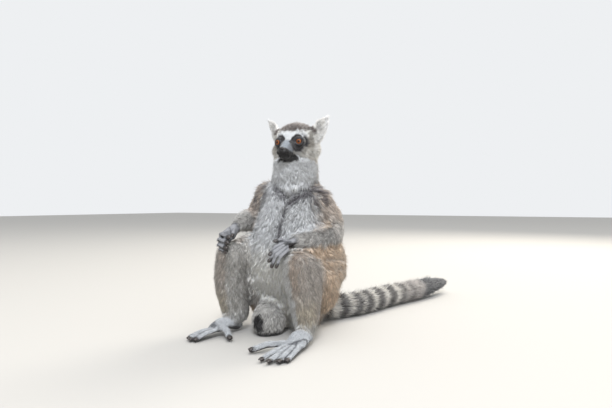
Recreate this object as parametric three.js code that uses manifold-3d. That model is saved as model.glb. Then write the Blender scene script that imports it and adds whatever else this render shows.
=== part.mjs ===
// A life-size ring-tailed lemur, sitting upright with its hands on its knees and its tail laid out behind.
// Millimetres, +Z up. The animal faces -Y, its left side is +X, and z = 0 is the floor that it sits on.
// The origin is on the flat under its rump. Every outline is taken at the tips of the coat.
import * as THREE from "three";
import { mergeVertices } from "three/addons/utils/BufferGeometryUtils.js";
import Module from "manifold-3d";

const wasm = await Module();
wasm.setup();

// ---------- driving dimensions ----------
const GAP = 0.35; // clearance between touching pieces
const HEAD = [-2, -15, 337]; // middle of the braincase
const HEAD_TURN = 7; // degrees that the face turns to the animal's left
const EYE_R = 7.6;
const EYE = { forward: 24.5, out: 19, up: -4.5 }; // from the middle of the braincase
const TAIL_CUTS = 4; // the tail comes in this many lengths

const COLOURS = {
  crown: 0x6f6a68,
  white: 0xd9d8d4,
  black: 0x1d1b1c,
  amber: 0xc2641b,
  flank: 0x8b7662,
  grey: 0x8d8a88,
  belly: 0xc6c7c6,
  foot: 0xb9bcc0,
  hand: 0x56534f,
};

// ---------- shape helpers ----------
const V = (p) => new THREE.Vector3(...p);
const lerp = (a, b, t) => a + (b - a) * t;
const curveThrough = (stations) =>
  new THREE.CatmullRomCurve3(stations.map((s) => V(s.slice(0, 3))), false, "catmullrom", 0.5);

// A closed three.js geometry as a solid, with its faces turned out.
function solidOf(geometry) {
  const bare = geometry.clone();
  bare.deleteAttribute("normal");
  bare.deleteAttribute("uv");
  const merged = mergeVertices(bare, 1e-3);
  const solid = new wasm.Manifold(
    new wasm.Mesh({
      numProp: 3,
      vertProperties: new Float32Array(merged.attributes.position.array),
      triVerts: new Uint32Array(merged.index.array),
    }),
  );
  return solid;
}

// A value that runs smoothly through the stations' numbers, at t from 0 to 1.
function smoothAt(values, t) {
  const last = values.length - 1;
  const at = Math.min(t * last, last - 1e-9);
  const i = Math.floor(at);
  const f = at - i;
  const [a, b] = [values[i], values[i + 1]];
  const before = i > 0 ? values[i - 1] : 2 * a - b;
  const after = i + 2 <= last ? values[i + 2] : 2 * b - a;
  const slopeA = (b - before) / 2;
  const slopeB = (after - a) / 2;
  const h = f * f * (3 - 2 * f);
  return a + (b - a) * h + slopeA * f * (1 - f) * (1 - f) - slopeB * f * f * (1 - f);
}

// A limb, trunk or digit: rings along a curve through stations [x, y, z, halfWidth, halfDepth], with round ends.
// side is the direction of the half width. capA and capB are the ends' lengths in half widths.
// axis, where given, is the normal that all rings keep; otherwise each ring is square to the curve.
function loft(stations, options) {
  const { side = [1, 0, 0], axis = null, around = 16, along = 8 } = options;
  const { grow = 0, square = 2, capA = 0.8, capB = 0.8 } = options;
  const CAP_RINGS = Math.max(1, Math.round(around / 8));
  const curve = curveThrough(stations);
  const widths = stations.map((s) => s[3]);
  const depths = stations.map((s) => s[4] ?? s[3]);
  const rings = [];
  const ringAt = (t, out, scale) => {
    const tangent = axis ? V(axis) : curve.getTangent(t);
    const a = smoothAt(widths, t) + grow;
    const b = smoothAt(depths, t) + grow;
    const u = V(side).addScaledVector(tangent, -V(side).dot(tangent)).normalize();
    const v = new THREE.Vector3().crossVectors(tangent, u);
    const centre = curve.getPoint(t).addScaledVector(tangent, out * Math.min(a, b));
    return { centre, u: u.multiplyScalar(a * scale), v: v.multiplyScalar(b * scale) };
  };
  for (let i = CAP_RINGS; i > 0; i--) {
    const turn = (i / (CAP_RINGS + 1)) * (Math.PI / 2);
    rings.push(ringAt(0, -capA * Math.sin(turn), Math.cos(turn)));
  }
  for (let i = 0; i <= along; i++) rings.push(ringAt(i / along, 0, 1));
  for (let i = 1; i <= CAP_RINGS; i++) {
    const turn = (i / (CAP_RINGS + 1)) * (Math.PI / 2);
    rings.push(ringAt(1, capB * Math.sin(turn), Math.cos(turn)));
  }
  const points = [ringAt(0, -capA, 0).centre];
  for (const ring of rings)
    for (let k = 0; k < around; k++) {
      const angle = ((k + 0.5) / around) * 2 * Math.PI;
      const [c, s] = [Math.cos(angle), Math.sin(angle)];
      const r = (Math.abs(c) ** square + Math.abs(s) ** square) ** (-1 / square);
      points.push(ring.centre.clone().addScaledVector(ring.u, c * r).addScaledVector(ring.v, s * r));
    }
  points.push(ringAt(1, capB, 0).centre);
  const index = [];
  const at = (ring, k) => 1 + ring * around + (k % around);
  for (let k = 0; k < around; k++) {
    index.push(0, at(0, k + 1), at(0, k));
    for (let ring = 0; ring + 1 < rings.length; ring++) {
      index.push(at(ring, k), at(ring, k + 1), at(ring + 1, k));
      index.push(at(ring, k + 1), at(ring + 1, k + 1), at(ring + 1, k));
    }
    index.push(points.length - 1, at(rings.length - 1, k), at(rings.length - 1, k + 1));
  }
  const geometry = new THREE.BufferGeometry().setFromPoints(points).setIndex(index);
  return solidOf(geometry);
}

// A ball stretched to three half sizes, turned by degrees about Z and moved to centre.
function egg(centre, half, { turn = 0, tilt = 0, grow = 0, across = 20, rows = 12 } = {}) {
  const geometry = new THREE.SphereGeometry(1, across, rows);
  geometry.scale(...half.map((h) => h + grow));
  geometry.rotateX(THREE.MathUtils.degToRad(tilt));
  geometry.rotateZ(THREE.MathUtils.degToRad(turn));
  geometry.translate(...centre);
  return solidOf(geometry);
}

// A point of the head: forward to the nose, out to the animal's left, and up, from the braincase's middle.
function onHead(forward, out, up) {
  const p = new THREE.Vector3(out, -forward, up);
  p.applyAxisAngle(new THREE.Vector3(0, 0, 1), THREE.MathUtils.degToRad(HEAD_TURN));
  return p.add(V(HEAD)).toArray();
}

// The largest single body of a solid that cuts have left in pieces.
function largest(solid) {
  return solid.decompose().reduce((a, b) => (a.volume() > b.volume() ? a : b));
}

const FLOOR = (() => {
  const DEPTH = 100;
  const slab = new THREE.BoxGeometry(2000, 2000, DEPTH);
  slab.translate(0, 0, -DEPTH / 2);
  return solidOf(slab);
})();

// ---------- head ----------
const eye = (s) => (grow) =>
  egg(onHead(EYE.forward, s * EYE.out, EYE.up), [EYE_R, EYE_R, EYE_R], { grow, across: 12, rows: 7 });

const nose = (grow) =>
  egg(onHead(57.5, 0, -20.5), [5.8, 5, 4.8], { grow, turn: HEAD_TURN, across: 8, rows: 6 });

// Rounded masses of the head: forward, out and up of their middles, and half sizes out, forward and up.
const MASSES = {
  cranium: { at: [-6, 0, 1], half: [41, 37, 34], across: 18, rows: 9 },
  face: { at: [4, 0, -12], half: [34, 28, 23], across: 14, rows: 7 },
  ruff: { at: [-5, 0.5, -17], half: [48, 36, 25], across: 18, rows: 8 },
};
// Sections of the muzzle from within the face to the lips: forward, up, half width, half height.
const MUZZLE = [
  [16, -14, 20, 18],
  [27, -16.5, 17.5, 18],
  [37, -21, 14, 16],
  [47, -24.5, 12, 13.5],
  [55, -25.5, 10.5, 10.5],
];

function head(grow) {
  const stations = MUZZLE.map(([f, up, w, h]) => [...onHead(f, 0, up), w, h]);
  const muzzle = loft(stations, { around: 12, along: 5, grow, square: 2.2, capA: 0.3, capB: 0.5 });
  return Object.values(MASSES).reduce(
    (solid, { at, half, across, rows }) =>
      solid.add(egg(onHead(...at), half, { turn: HEAD_TURN, grow, across, rows })),
    muzzle,
  );
}

// A leaf-shaped ear, hollowed in front, as stations from its root to its tufted tip.
const EAR = [
  [-8, 34, 4, 13.5, 8],
  [-9, 40, 15, 15, 7],
  [-10, 46, 26, 13, 5.5],
  [-10, 50.5, 35, 8, 3.6],
  [-10, 53.5, 40.5, 3, 2],
];
const ear = (s) => (grow) => {
  const stations = EAR.map(([f, out, up, w, d]) => [...onHead(f, s * out, up), w, d]);
  const face = onHead(20, s * 30, 0).map((x, i) => x - onHead(0, 0, 0)[i]);
  const across = new THREE.Vector3().crossVectors(V(face), V([s * 0.55, 0, 1])).toArray();
  let solid = loft(stations, { side: across, around: 9, along: 5, grow, capA: 0.6, capB: 0.7 });
  const cup = egg(onHead(-1.5, s * 45, 22), [7.5, 6, 10.5], {
    turn: HEAD_TURN + s * 35,
    grow: -grow,
    across: 7,
    rows: 5,
  });
  return solid.subtract(cup);
};

// ---------- trunk ----------
const TRUNK = [
  [-17, 18, 6, 44, 52],
  [-15, 18, 26, 51, 60],
  [-12, 15, 46, 62, 73],
  [-8, 10, 66, 70, 80],
  [-4, 4, 86, 78, 91],
  [0, 0, 108, 84, 95],
  [-4, -2, 136, 84, 91],
  [-8, -3, 168, 80, 79],
  [-8, -4, 200, 71, 65],
  [-7, -6, 230, 62, 53],
  [-7, -7, 252, 54, 45],
  [-6, -8, 265, 47.5, 40],
];
const LEVEL = [0, 0, 1];
const trunk = (grow) =>
  loft(TRUNK, { axis: LEVEL, around: 20, along: 12, grow, square: 2.1, capA: 0.4, capB: 0.15 });

const NECK = [
  [-5, -10, 252, 38, 32],
  [-5, -12, 270, 45.5, 38.5],
  [-3, -12, 288, 43.5, 38],
  [-3, -13, 306, 42.5, 40],
];
const neck = (grow) => loft(NECK, { axis: LEVEL, around: 16, along: 3, grow, capA: 0.4, capB: 0.2 });

// The furred mound of the perineum, between the thighs in front of the rump.
const perineum = (grow) => egg([-22, -69, 24], [30, 35, 35], { grow, across: 12, rows: 7 });

// ---------- tail ----------
const TAIL = [
  [-4, 54, 27, 26, 25.5],
  [22, 86, 25.5, 25.5, 25.5],
  [42, 124, 24.5, 25, 25],
  [56, 176, 24.5, 25, 25],
  [66, 232, 24.5, 25, 25],
  [80, 290, 24.5, 24.5, 24.5],
  [97, 348, 25, 24, 24],
  [112, 404, 26, 22, 22],
  [123, 446, 27, 18.5, 18.5],
  [129, 474, 27, 12.5, 12.5],
  [131, 490, 26, 6, 6],
];
const wholeTail = (grow) =>
  loft(TAIL, { around: 12, along: 16, grow, capA: 0.3, capB: 1.2 });

// The tail parted by thin cuts across it, from the root to the tip.
function tailLengths() {
  const THIN = GAP;
  const WIDE = 120;
  const curve = curveThrough(TAIL);
  let solid = wholeTail(0).subtract(trunk(GAP)).subtract(FLOOR);
  for (let i = 1; i < TAIL_CUTS; i++) {
    const t = i / TAIL_CUTS;
    const slice = new THREE.BoxGeometry(WIDE, WIDE, THIN);
    slice.applyQuaternion(new THREE.Quaternion().setFromUnitVectors(V(LEVEL), curve.getTangent(t)));
    slice.translate(...curve.getPoint(t).toArray());
    solid = solid.subtract(solidOf(slice));
  }
  return solid
    .decompose()
    .filter((piece) => piece.volume() > 1000)
    .sort((a, b) => a.boundingBox().min[1] - b.boundingBox().min[1]);
}

// ---------- arms ----------
const ARMS = {
  left: {
    shoulder: [36, -11, 230],
    mid: [55, 1, 203],
    elbow: [64, 5, 173],
    fore: [54, -34, 164],
    wrist: [40, -73, 164],
    knuckles: [29, -93, 157],
    halves: {
      shoulder: [27, 29],
      mid: [23, 26],
      elbow: [23, 25],
      fore: [21, 23.5],
      wrist: [11.5, 12],
      palm: [12.5, 6],
    },
    palmSide: [-0.8, 0.15, -0.55],
    digits: [
      { root: [27, -86, 163], bend: [20, -95, 166], tip: [14, -103, 163], r: 3.8 },
      { root: [22, -94, 159], bend: [15, -107, 154], tip: [12, -116, 143], r: 3.7 },
      { root: [26, -98, 155], bend: [17, -112, 147], tip: [13, -120, 133], r: 3.8 },
      { root: [31, -101, 151], bend: [23, -116, 141], tip: [19, -121, 125], r: 3.8 },
      { root: [37, -102, 149], bend: [31, -116, 139], tip: [28, -121, 125], r: 3.6 },
    ],
  },
  right: {
    shoulder: [-51, -14, 241],
    mid: [-75, -8, 219],
    elbow: [-96, -1, 196],
    fore: [-94, -34, 194],
    wrist: [-89, -68, 187],
    knuckles: [-91, -100, 164],
    halves: {
      shoulder: [31, 32],
      mid: [27, 27],
      elbow: [24, 24],
      fore: [19, 20],
      wrist: [11.5, 11.5],
      palm: [15, 7],
    },
    palmSide: [0.1, -0.25, -1],
    digits: [
      { root: [-85, -82, 182], bend: [-78, -96, 177], tip: [-74, -105, 169], r: 4 },
      { root: [-90, -100, 176], bend: [-92, -114, 172], tip: [-76, -112, 167], r: 4.2 },
      { root: [-92, -103, 167], bend: [-94, -117, 163], tip: [-77, -115, 158], r: 4.4 },
      { root: [-93, -104, 159], bend: [-95, -116, 154], tip: [-79, -116, 149], r: 4.4 },
      { root: [-93, -102, 151], bend: [-95, -112, 146], tip: [-82, -113, 142], r: 4 },
    ],
  },
};
const upperArm = (name) => (grow) => {
  const { shoulder, mid, elbow, halves: h } = ARMS[name];
  const stations = [[...shoulder, ...h.shoulder], [...mid, ...h.mid], [...elbow, ...h.elbow]];
  return loft(stations, { side: [0, 1, 0], around: 11, along: 4, grow });
};
const forearm = (name) => (grow) => {
  const { elbow, fore, wrist, halves: h } = ARMS[name];
  const stations = [[...elbow, ...h.elbow], [...fore, ...h.fore], [...wrist, ...h.wrist]];
  return loft(stations, { around: 11, along: 4, grow, capB: 0.5 });
};
const hand = (name) => (grow) => {
  const { wrist, knuckles, palmSide, digits, halves } = ARMS[name];
  const stations = [[...wrist, 9.5, 8], [...knuckles, ...halves.palm]];
  const palm = loft(stations, { side: palmSide, around: 10, along: 2, grow, capB: 0.9 });
  return digits.reduce((solid, d) => solid.add(digit(d, knuckles, grow)), palm);
};

// A finger or toe from within the palm to its pad.
function digit({ root, bend, tip, r }, palm, grow) {
  const inside = root.map((x, i) => lerp(x, palm[i], 0.85));
  const stations = [[...inside, r], [...root, r * 1.08], [...bend, r * 1.05], [...tip, r]];
  return loft(stations, { side: [0.3, 0.2, 1], around: 6, along: 3, grow, capA: 0.5, capB: 0.9 });
}

// ---------- legs ----------
const LEGS = {
  left: {
    hip: [40, -2, 64],
    thigh: [51, -38, 97],
    knee: [46, -84, 124],
    calf: [54, -80, 84],
    ankle: [66, -94, 23],
    heel: [68, -98, 12],
    instep: [70, -116, 16],
    ball: [74, -141, 10],
    sole: [[13.5, 12.5], [16.5, 13], [17, 8.5]],
    halves: { hip: [36, 42], thigh: [34, 40], knee: [30, 29], calf: [31, 33], ankle: [19, 20] },
    digits: [
      { root: [59, -143, 11], bend: [38, -164, 11], tip: [23, -183, 5.5], r: 5.7 },
      { root: [65, -156, 10], bend: [63, -186, 9], tip: [61, -211, 4.5], r: 4.6 },
      { root: [73, -158, 10], bend: [75, -188, 9], tip: [75, -213, 4.5], r: 4.7 },
      { root: [80, -156, 10], bend: [85, -183, 9], tip: [87, -205, 4.5], r: 4.7 },
      { root: [86, -151, 9], bend: [92, -175, 8], tip: [94, -195, 4.3], r: 4.3 },
    ],
  },
  right: {
    hip: [-54, -8, 50],
    thigh: [-72, -40, 121],
    knee: [-90, -86, 134],
    calf: [-95, -80, 84],
    ankle: [-84, -80, 25],
    heel: [-84, -78, 11],
    instep: [-86, -104, 19],
    ball: [-88, -127, 15],
    sole: [[12.5, 12], [14.5, 12], [17, 8.5]],
    halves: { hip: [43, 50], thigh: [36, 47], knee: [30, 29], calf: [32, 33], ankle: [23, 24] },
    digits: [
      { root: [-77, -124, 15], bend: [-60, -136, 13], tip: [-47, -146, 5.5], r: 5.6 },
      { root: [-83, -137, 13], bend: [-87, -158, 11], tip: [-91, -177, 4.5], r: 4.5 },
      { root: [-89, -139, 13], bend: [-95, -160, 11], tip: [-100, -179, 4.5], r: 4.6 },
      { root: [-95, -137, 12], bend: [-102, -157, 10], tip: [-108, -175, 4.5], r: 4.6 },
      { root: [-100, -132, 11], bend: [-108, -149, 9], tip: [-114, -165, 4.3], r: 4.2 },
    ],
  },
};
const thigh = (name) => (grow) => {
  const { hip, thigh: middle, knee, halves: h } = LEGS[name];
  const stations = [[...hip, ...h.hip], [...middle, ...h.thigh], [...knee, ...h.knee]];
  return loft(stations, { around: 13, along: 4, grow });
};
const shin = (name) => (grow) => {
  const { knee, calf, ankle, halves: h } = LEGS[name];
  const stations = [[...knee, ...h.knee], [...calf, ...h.calf], [...ankle, ...h.ankle]];
  return loft(stations, { around: 13, along: 5, grow, capA: 0.9, capB: 0.5 });
};
const foot = (name) => (grow) => {
  const { heel, instep, ball, sole, digits } = LEGS[name];
  const stations = [heel, instep, ball].map((point, i) => [...point, ...sole[i]]);
  const solid = loft(stations, { around: 12, along: 4, grow, capA: 0.8, capB: 1.4 });
  return digits.reduce((whole, d) => whole.add(digit(d, ball, grow)), solid);
};

// ---------- assembly ----------
// Earlier pieces stay whole, and a later one is cut clear of those that it meets.
const SIDES = ["left", "right"];
const SIGN = { left: 1, right: -1 };
const each = (make) => SIDES.flatMap(make);
const PIECES = [
  ...each((s) => [{ name: `eye_${s}`, make: eye(SIGN[s]), colour: COLOURS.amber, gloss: true }]),
  { name: "nose", make: nose, colour: COLOURS.black },
  { name: "head", make: head, colour: COLOURS.crown },
  { name: "trunk", make: trunk, colour: COLOURS.belly },
  { name: "neck", make: neck, colour: COLOURS.white },
  ...each((s) => [{ name: `ear_${s}`, make: ear(SIGN[s]), colour: COLOURS.white }]),
  ...each((s) => [{ name: `foot_${s}`, make: foot(s), colour: COLOURS.foot }]),
  ...each((s) => [{ name: `shin_${s}`, make: shin(s), colour: COLOURS.grey }]),
  ...each((s) => [{ name: `thigh_${s}`, make: thigh(s), colour: COLOURS.flank }]),
  { name: "perineum", make: perineum, colour: COLOURS.white },
  ...each((s) => [{ name: `upper_arm_${s}`, make: upperArm(s), colour: COLOURS.flank }]),
  ...each((s) => [{ name: `forearm_${s}`, make: forearm(s), colour: COLOURS.grey }]),
  ...each((s) => [{ name: `hand_${s}`, make: hand(s), colour: COLOURS.hand }]),
];

function meshOf(name, solid, colour, gloss = false) {
  const { vertProperties, triVerts } = solid.getMesh();
  const geometry = new THREE.BufferGeometry()
    .setAttribute("position", new THREE.BufferAttribute(vertProperties, 3))
    .setIndex(new THREE.BufferAttribute(triVerts, 1));
  geometry.computeVertexNormals();
  const roughness = gloss ? 0.1 : 0.9;
  const material = new THREE.MeshStandardMaterial({ color: colour, roughness, metalness: 0 });
  const mesh = new THREE.Mesh(geometry, material);
  mesh.name = name;
  return mesh;
}

const lemur = new THREE.Group();
const apart = (a, b) =>
  [0, 1, 2].some((i) => a.min[i] > b.max[i] + GAP || b.min[i] > a.max[i] + GAP);
const placed = [];
for (const { name, make, colour, gloss } of PIECES) {
  let solid = make(0).subtract(FLOOR);
  for (const other of placed)
    if (!apart(solid.boundingBox(), other.grown.boundingBox())) solid = solid.subtract(other.grown);
  placed.push({ grown: make(GAP) });
  lemur.add(meshOf(name, largest(solid), colour, gloss));
}
tailLengths().forEach((piece, i) => {
  const colour = i % 2 ? COLOURS.white : COLOURS.black;
  lemur.add(meshOf(`tail_${i + 1}`, piece, colour));
});

export default lemur;
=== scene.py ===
# %% [markdown]
# # A sitting ring-tailed lemur
# This lesson dresses a life-size lemur. The frame gives the body's solids, which reach out to the tips of the
# coat. First comes the room with its camera and lamps. The skin is modelled inside the solids, then it gets its
# markings and a coat of tufts, and last come the eyes and the nails.

# %% Load the frame
import math

import bmesh
import bpy
import numpy as np
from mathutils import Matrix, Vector
from mathutils.bvhtree import BVHTree


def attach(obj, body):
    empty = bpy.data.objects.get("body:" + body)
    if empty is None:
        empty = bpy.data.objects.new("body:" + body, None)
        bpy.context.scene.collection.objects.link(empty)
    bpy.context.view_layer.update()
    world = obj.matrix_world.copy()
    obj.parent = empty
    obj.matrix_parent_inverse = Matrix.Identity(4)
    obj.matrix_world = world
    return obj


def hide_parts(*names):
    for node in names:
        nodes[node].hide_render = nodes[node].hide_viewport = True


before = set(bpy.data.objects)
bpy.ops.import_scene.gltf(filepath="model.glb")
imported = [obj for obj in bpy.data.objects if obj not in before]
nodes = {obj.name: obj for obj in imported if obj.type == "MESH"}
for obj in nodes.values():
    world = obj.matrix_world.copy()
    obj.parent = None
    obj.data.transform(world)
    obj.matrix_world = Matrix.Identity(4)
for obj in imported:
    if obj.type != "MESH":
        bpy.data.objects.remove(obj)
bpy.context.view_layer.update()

# %% [markdown]
# Shapes are in millimetres, as a model maker would measure them, and turn to metres when a mesh is made. Colours
# are written as sRGB hex values, and one function turns them linear. Two more functions are needed all through
# the lesson: a smooth ramp between two values, and the distance from a line.

# %% Units, colours and ramps
MM = 0.001
rng = np.random.default_rng(11)


def linear(code):
    """An sRGB hex colour, such as d9d8d0, as three linear values."""
    parts = np.array([int(code[i : i + 2], 16) / 255 for i in (0, 2, 4)])
    return np.where(parts <= 0.04045, parts / 12.92, ((parts + 0.055) / 1.055) ** 2.4)


def ramp(x, low, high):
    """0 below low, 1 above high, and a smooth rise between. It falls where high is the smaller."""
    t = np.clip((np.asarray(x, float) - low) / (high - low), 0, 1)
    return t * t * (3 - 2 * t)


def unit(v):
    return v / np.maximum(np.linalg.norm(v, axis=-1, keepdims=True), 1e-9)


def along_path(points, path):
    """For each point, its distance from a path of straight pieces, and how far along the path it is."""
    best, where, run = np.full(len(points), 1e9), np.zeros(len(points)), 0.0
    for a, b in zip(path[:-1], path[1:]):
        a, b = np.array(a, float), np.array(b, float)
        size = np.linalg.norm(b - a)
        t = np.clip((points - a) @ (b - a) / size**2, 0, 1)
        away = np.linalg.norm(points - (a + t[:, None] * (b - a)), axis=1)
        near = away < best
        best[near], where[near] = away[near], run + t[near] * size
        run += size
    return best, where


# %% [markdown]
# The camera stands 22 cm above the floor, to the animal's left, and looks level through a 30 mm lens. Three soft
# lamps light a pale room: a broad one above, one in front, and one behind that catches the rim of the coat.
# Places here are in metres.

# %% Camera and lamps
PLACE, TURN = (0.4742, -0.8012, 0.224), math.radians(30)
LENS, SENSOR = 30, 36
LAMPS = {  # place, aim, size, watts and colour
    "sky": ((0.4, 0.2, 3.4), (0, 0, 0.1), 3.6, 60, "fffaf2"),
    "front": ((1.6, -2.7, 2.8), (0, 0, 0.2), 1.2, 132, "f4f7fd"),
    "rim": ((0.4, 2.4, 1.9), (0, 0, 0.28), 1.4, 62, "fff8ec"),
}
ROOM = "eef0f2"
camera = bpy.data.objects.new("camera", bpy.data.cameras.new("camera"))
bpy.context.scene.collection.objects.link(camera)
camera.data.lens, camera.data.sensor_width = LENS, SENSOR
camera.location = PLACE
camera.rotation_euler = (math.pi / 2, 0, TURN)
camera.data.clip_start = 0.01
bpy.context.scene.camera = camera


def lamp(name, place, aim, size, watts, colour):
    light = bpy.data.lights.new(name, "AREA")
    light.shape, light.size, light.energy = "DISK", size, watts
    light.color = linear(colour)
    o = bpy.data.objects.new(name, light)
    bpy.context.scene.collection.objects.link(o)
    o.location = place
    o.rotation_euler = (Vector(aim) - Vector(place)).to_track_quat("-Z", "Y").to_euler()


for name, values in LAMPS.items():
    lamp(name, *values)
world = bpy.data.worlds.new("room")
bpy.context.scene.world = world
world.use_nodes = True
background = world.node_tree.nodes["Background"].inputs
background["Color"].default_value, background["Strength"].default_value = (*linear(ROOM), 1), 1.0
bpy.context.scene.view_settings.view_transform = "Standard"
print(len(LAMPS), "lamps and a camera")

# %% [markdown]
# Shapes are worked on as plain arrays of points and faces, and these functions carry them to and from Blender.
# In one array all faces have the same number of corners. Values given for each point, such as the depth of the
# coat, are evened out by spreading them along the edges. A voxel remesh welds shapes that overlap into one closed
# skin, as clay does over an armature.

# %% Meshes from arrays
def make_mesh(name, points, faces):
    """A mesh from points in millimetres and an array of faces that all have the same number of corners."""
    mesh = bpy.data.meshes.new(name)
    mesh.vertices.add(len(points))
    mesh.vertices.foreach_set("co", np.ascontiguousarray(points * MM, np.float32).ravel())
    mesh.loops.add(faces.size)
    mesh.loops.foreach_set("vertex_index", faces.astype(np.int32).ravel())
    mesh.polygons.add(len(faces))
    mesh.polygons.foreach_set("loop_start", np.arange(0, faces.size, faces.shape[1], dtype=np.int32))
    mesh.polygons.foreach_set("use_smooth", np.ones(len(faces), bool))
    mesh.update(calc_edges=True)
    return mesh


def make_object(name, mesh):
    o = bpy.data.objects.new(name, mesh)
    bpy.context.scene.collection.objects.link(o)
    return o


def points_of(mesh):
    co = np.empty(len(mesh.vertices) * 3, np.float32)
    mesh.vertices.foreach_get("co", co)
    return co.reshape(-1, 3).astype(float) / MM


def triangles_of(mesh):
    mesh.calc_loop_triangles()
    index = np.empty(len(mesh.loop_triangles) * 3, np.int32)
    mesh.loop_triangles.foreach_get("vertices", index)
    return index.reshape(-1, 3)


def edges_of(mesh):
    index = np.empty(len(mesh.edges) * 2, np.int32)
    mesh.edges.foreach_get("vertices", index)
    return index.reshape(-1, 2)


def vertex_normals(points, tris):
    a, b, c = points[tris[:, 0]], points[tris[:, 1]], points[tris[:, 2]]
    across = np.cross(b - a, c - a)
    total = np.zeros_like(points)
    for k in range(3):
        for axis in range(3):
            total[:, axis] += np.bincount(tris[:, k], across[:, axis], len(points))
    return unit(total)


def spread(values, edges, rounds, weight=0.5):
    """Moves each vertex's value towards its neighbours' mean, weight of the way, that many times."""
    values = np.array(values, float)
    columns = values.reshape(len(values), -1)
    a, b = edges.T
    count = np.maximum(np.bincount(a, minlength=len(values)) + np.bincount(b, minlength=len(values)), 1)
    weight = np.broadcast_to(weight, len(values))
    for _ in range(rounds):
        for k in range(columns.shape[1]):
            v = columns[:, k]
            near = np.bincount(a, v[b], len(v)) + np.bincount(b, v[a], len(v))
            columns[:, k] = v + weight * (near / count - v)
    return columns.reshape(values.shape)


def joined(shapes):
    """Several shapes' points and faces as one shape's, and which shape each face is from."""
    points, faces, owner, start = [], [], [], 0
    for k, (p, f) in enumerate(shapes):
        points.append(p)
        faces.append(f + start)
        owner += [k] * len(f)
        start += len(p)
    return np.concatenate(points), np.concatenate(faces), np.array(owner)


def welded(shapes, voxel):
    """One closed mesh round the (points, triangles) shapes, remeshed at a voxel size in millimetres."""
    points, tris, _ = joined(shapes)
    o = make_object("weld", make_mesh("weld", points, tris))
    remesh = o.modifiers.new("weld", "REMESH")
    remesh.mode, remesh.voxel_size = "VOXEL", voxel * MM
    mesh = bpy.data.meshes.new_from_object(o.evaluated_get(bpy.context.evaluated_depsgraph_get()))
    bpy.data.objects.remove(o)
    return mesh


# %% [markdown]
# The frame's solids stop 0.35 mm short of each other. Each is grown by 0.4 mm, so that they overlap and weld.
# The hands have almost no coat, so they join the skin after the rest has been drawn in, and a small ball bridges
# each wrist. Every point of the skin keeps the name of the solid that it came from.

# %% The frame's solids, grown a little
GROW = 0.4
VOXEL = 1.6
EYES = ("eye_left", "eye_right")
HANDS = ("hand_left", "hand_right")
flesh = [n for n in nodes if n not in EYES]
PARTS = sorted(flesh)


def grown(name, by):
    bm = bmesh.new()
    bm.from_mesh(nodes[name].data)
    bmesh.ops.remove_doubles(bm, verts=bm.verts, dist=1e-6)
    mesh = bpy.data.meshes.new("grown")
    bm.to_mesh(mesh)
    bm.free()
    points, tris = points_of(mesh), triangles_of(mesh)
    return points + vertex_normals(points, tris) * by, tris


def tree_of(points, tris):
    return BVHTree.FromPolygons([Vector(p) for p in points], tris.tolist(), all_triangles=True)


def nearest_part(points):
    """The index in PARTS of the solid whose face is nearest to each point."""
    all_points, all_tris, owner = joined([grown(name, 0) for name in PARTS])
    tree = tree_of(all_points, all_tris)
    return owner[[tree.find_nearest(Vector(p))[2] for p in points]]


body = welded([grown(n, GROW) for n in nodes if n not in HANDS], VOXEL)
body_points, body_tris, body_edges = points_of(body), triangles_of(body), edges_of(body)
body_part = nearest_part(body_points)
print("body without hands:", len(body_points), "points")

# %% [markdown]
# The head has its own axes: forward to the nose, out to the animal's left, and up, from the middle of the
# braincase. The face turns 7 degrees to its left. The other landmarks are the line of the tail, the joints of the
# limbs, and each digit's root, bend, tip and half width.

# %% Landmarks
HEAD = np.array((-2.0, -15.0, 337.0))
HEAD_TURN = math.radians(7)
FORWARD = np.array((math.sin(HEAD_TURN), -math.cos(HEAD_TURN), 0))
OUT = np.array((math.cos(HEAD_TURN), math.sin(HEAD_TURN), 0))
UP = np.array((0, 0, 1.0))
EYE = {"forward": 24.5, "out": 19.0, "up": -4.5, "radius": 7.6}
TAIL = [(-4, 54, 27), (22, 86, 25), (42, 124, 24), (56, 176, 24), (66, 232, 24), (80, 290, 24),
        (97, 348, 25), (112, 404, 26), (123, 446, 27), (129, 474, 27), (131, 490, 26)]
LIMBS = {
    "upper_arm_left": [(36, -11, 230), (64, 5, 173)],
    "upper_arm_right": [(-51, -14, 241), (-96, -1, 196)],
    "forearm_left": [(64, 5, 173), (40, -73, 164)],
    "forearm_right": [(-96, -1, 196), (-89, -68, 187)],
    "hand_left": [(40, -73, 164), (15, -112, 146)],
    "hand_right": [(-89, -68, 187), (-93, -100, 160), (-78, -115, 150)],
    "thigh_left": [(40, -2, 64), (46, -84, 124)],
    "thigh_right": [(-54, -8, 50), (-90, -86, 134)],
    "shin_left": [(46, -84, 124), (66, -94, 23)],
    "shin_right": [(-90, -86, 134), (-84, -80, 25)],
    "foot_left": [(68, -94, 20), (74, -141, 10), (76, -210, 5)],
    "foot_right": [(-84, -78, 18), (-88, -127, 15), (-97, -175, 5)],
}
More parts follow.
